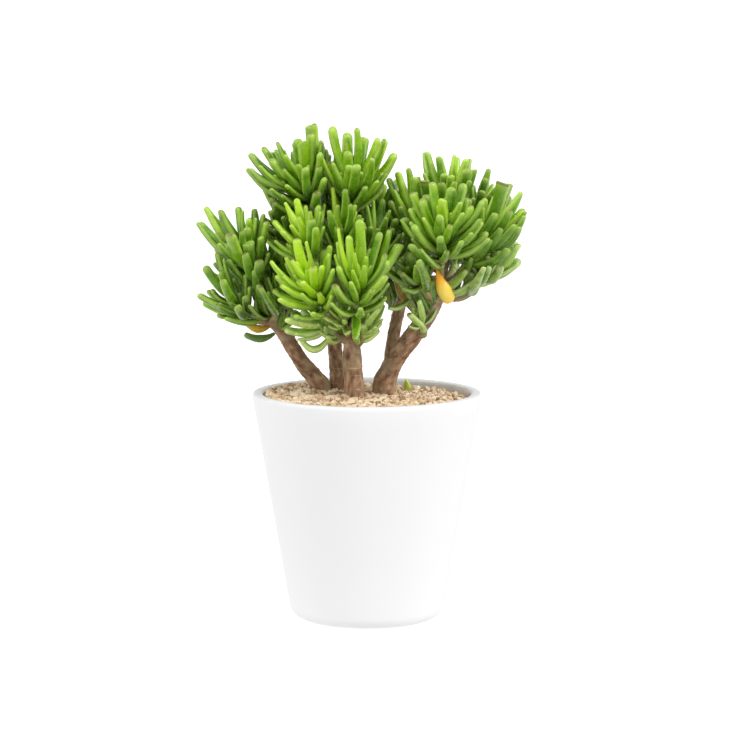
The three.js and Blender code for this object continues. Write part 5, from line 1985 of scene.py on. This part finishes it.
# Paler greens with bloom, and brighter throughout as painted light for the shaded low shoots.
PALE_LIT_FINISH = LeafFinish(
    "pale_leaf_skin", "#587e1c", "#98c03c", "#cfe658", "#bacf8e", "#e2efae", "#c4d670")

# The orange leaf is shed and swollen like a drop
DROP_SIZES = RosetteSizes(narrowest_tip=0.9, pinch=0.8, width=1.12, width_play=0, groove=0.05, slant=0)
ODD_SIZES = {"leaf_orange": DROP_SIZES, "leaf_brown": RosetteSizes(width=1.12)}

# The slot and the skin of each odd leaf
ODD_FINISHES: dict[str, tuple[str, LeafFinish]] = {
    "leaf_orange": ("orange_leaf", LeafFinish(
        "orange_skin", "#e8820c", "#f79d12", "#f6c64e", "#f5b13c", "#f7bd4a", "#e8681c", "#ecd872",
        "#f0d558")),
    "leaf_yellow": ("yellow_leaf", LeafFinish(
        "dull_yellow_skin", "#8a6a1c", "#b8952c", "#c9b23e", "#9c8a4e", "#d6c25a", "#a9a04a", "#6f3d1c")),
    "leaf_brown": ("brown_leaf", LeafFinish(
        "brown_skin", "#a5801c", "#c9a52c", "#d9bd4e", "#c0ab5e", "#e2cd7a", "#9a7a2e", "#9a5f2a")),
    "leaf_low": ("dark_leaf", LeafFinish(
        "dark_skin", "#4a6a2a", "#5f8238", "#7f9c4c", "#7c9460", "#98ae72", "#8aa052", "#4a4028")),
    "leaf_fallen": ("pale_leaf", LeafFinish(
        "pale_skin", "#9dbc3c", "#bfd850", "#d6e67a", "#c3d67c", "#e2ec9a", "#c9d8a0", "#a8a04c")),
}


def place(piece: bpy.types.Object, slot: str, *nodes: str) -> None:
    """Lets a piece ride on the part, hides the nodes that it stands for, and reports it."""
    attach(piece, "root")
    if nodes:
        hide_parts(*nodes)
    log.info("%s: %d faces, for %s", piece.name, len(piece.data.polygons), ", ".join(nodes) or "detail")


def main() -> None:
    """Builds the studio and every piece, in order."""
    logging.basicConfig(level=logging.INFO, format="%(message)s")
    Studio().build()
    plant = Plant()
    plant.grow()
    log.info("%d leaves grown", sum(len(shoot.leaves) for shoot in plant.shoots))

    place(Pot().build(GlazeFinish().material()), "glaze", "pot")
    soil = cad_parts["soil"]
    soil.data.materials.clear()
    soil.data.materials.append(EarthFinish("potting_soil", "#241710", "#4a3526").material())
    gravel = Gravel([plant.limbs[name] for name in ("left", "back", "centre", "right")])
    place(gravel.bed(EarthFinish("grit", "#33241a", "#6f563e").material()), "gravel", "gravel")
    for stones in gravel.stones(PebbleFinish().material()):
        place(stones, "gravel", "gravel")

    bark = BarkFinish().material()
    for node, names in TRUNKS.items():
        twigs = [twig for twig in plant.twigs if twig.shoot.limb in names]
        wood = Wood(node.replace("trunk", "bark"), [plant.limbs[name] for name in names], twigs)
        place(wood.build(bark), "bark", node)

    sizes, broad = RosetteSizes(), RosetteSizes(narrowest_tip=0.5, width=1.07)
    stem = StemFinish().material()
    skins, pale_lit_skins = [LeafFinish().material(), stem], [PALE_LIT_FINISH.material(), stem]
    for shoot in plant.shoots:
        tone = SHOOT_TONES_LIGHT_AND_SHADE.get(shoot.name, SHOOT_TONE)
        shape = broad if shoot.name.startswith(BROAD_SHOOTS) else sizes
        kinds = pale_lit_skins if shoot.name in PALE_SHOOTS else skins
        place(Rosette(shoot, tone, shape).build(kinds), "leaf", shoot.name)
    for node, leaf in plant.odd.items():
        slot, finish = ODD_FINISHES[node]
        skin = Skin()
        add_leaf(skin, leaf, ODD_SIZES.get(node, sizes), Draws(len(node)), 0.5)
        place(skin.to_object(node.replace("leaf_", "single_leaf_"), [finish.material()]), slot, node)


if __name__ == "__main__":
    main()
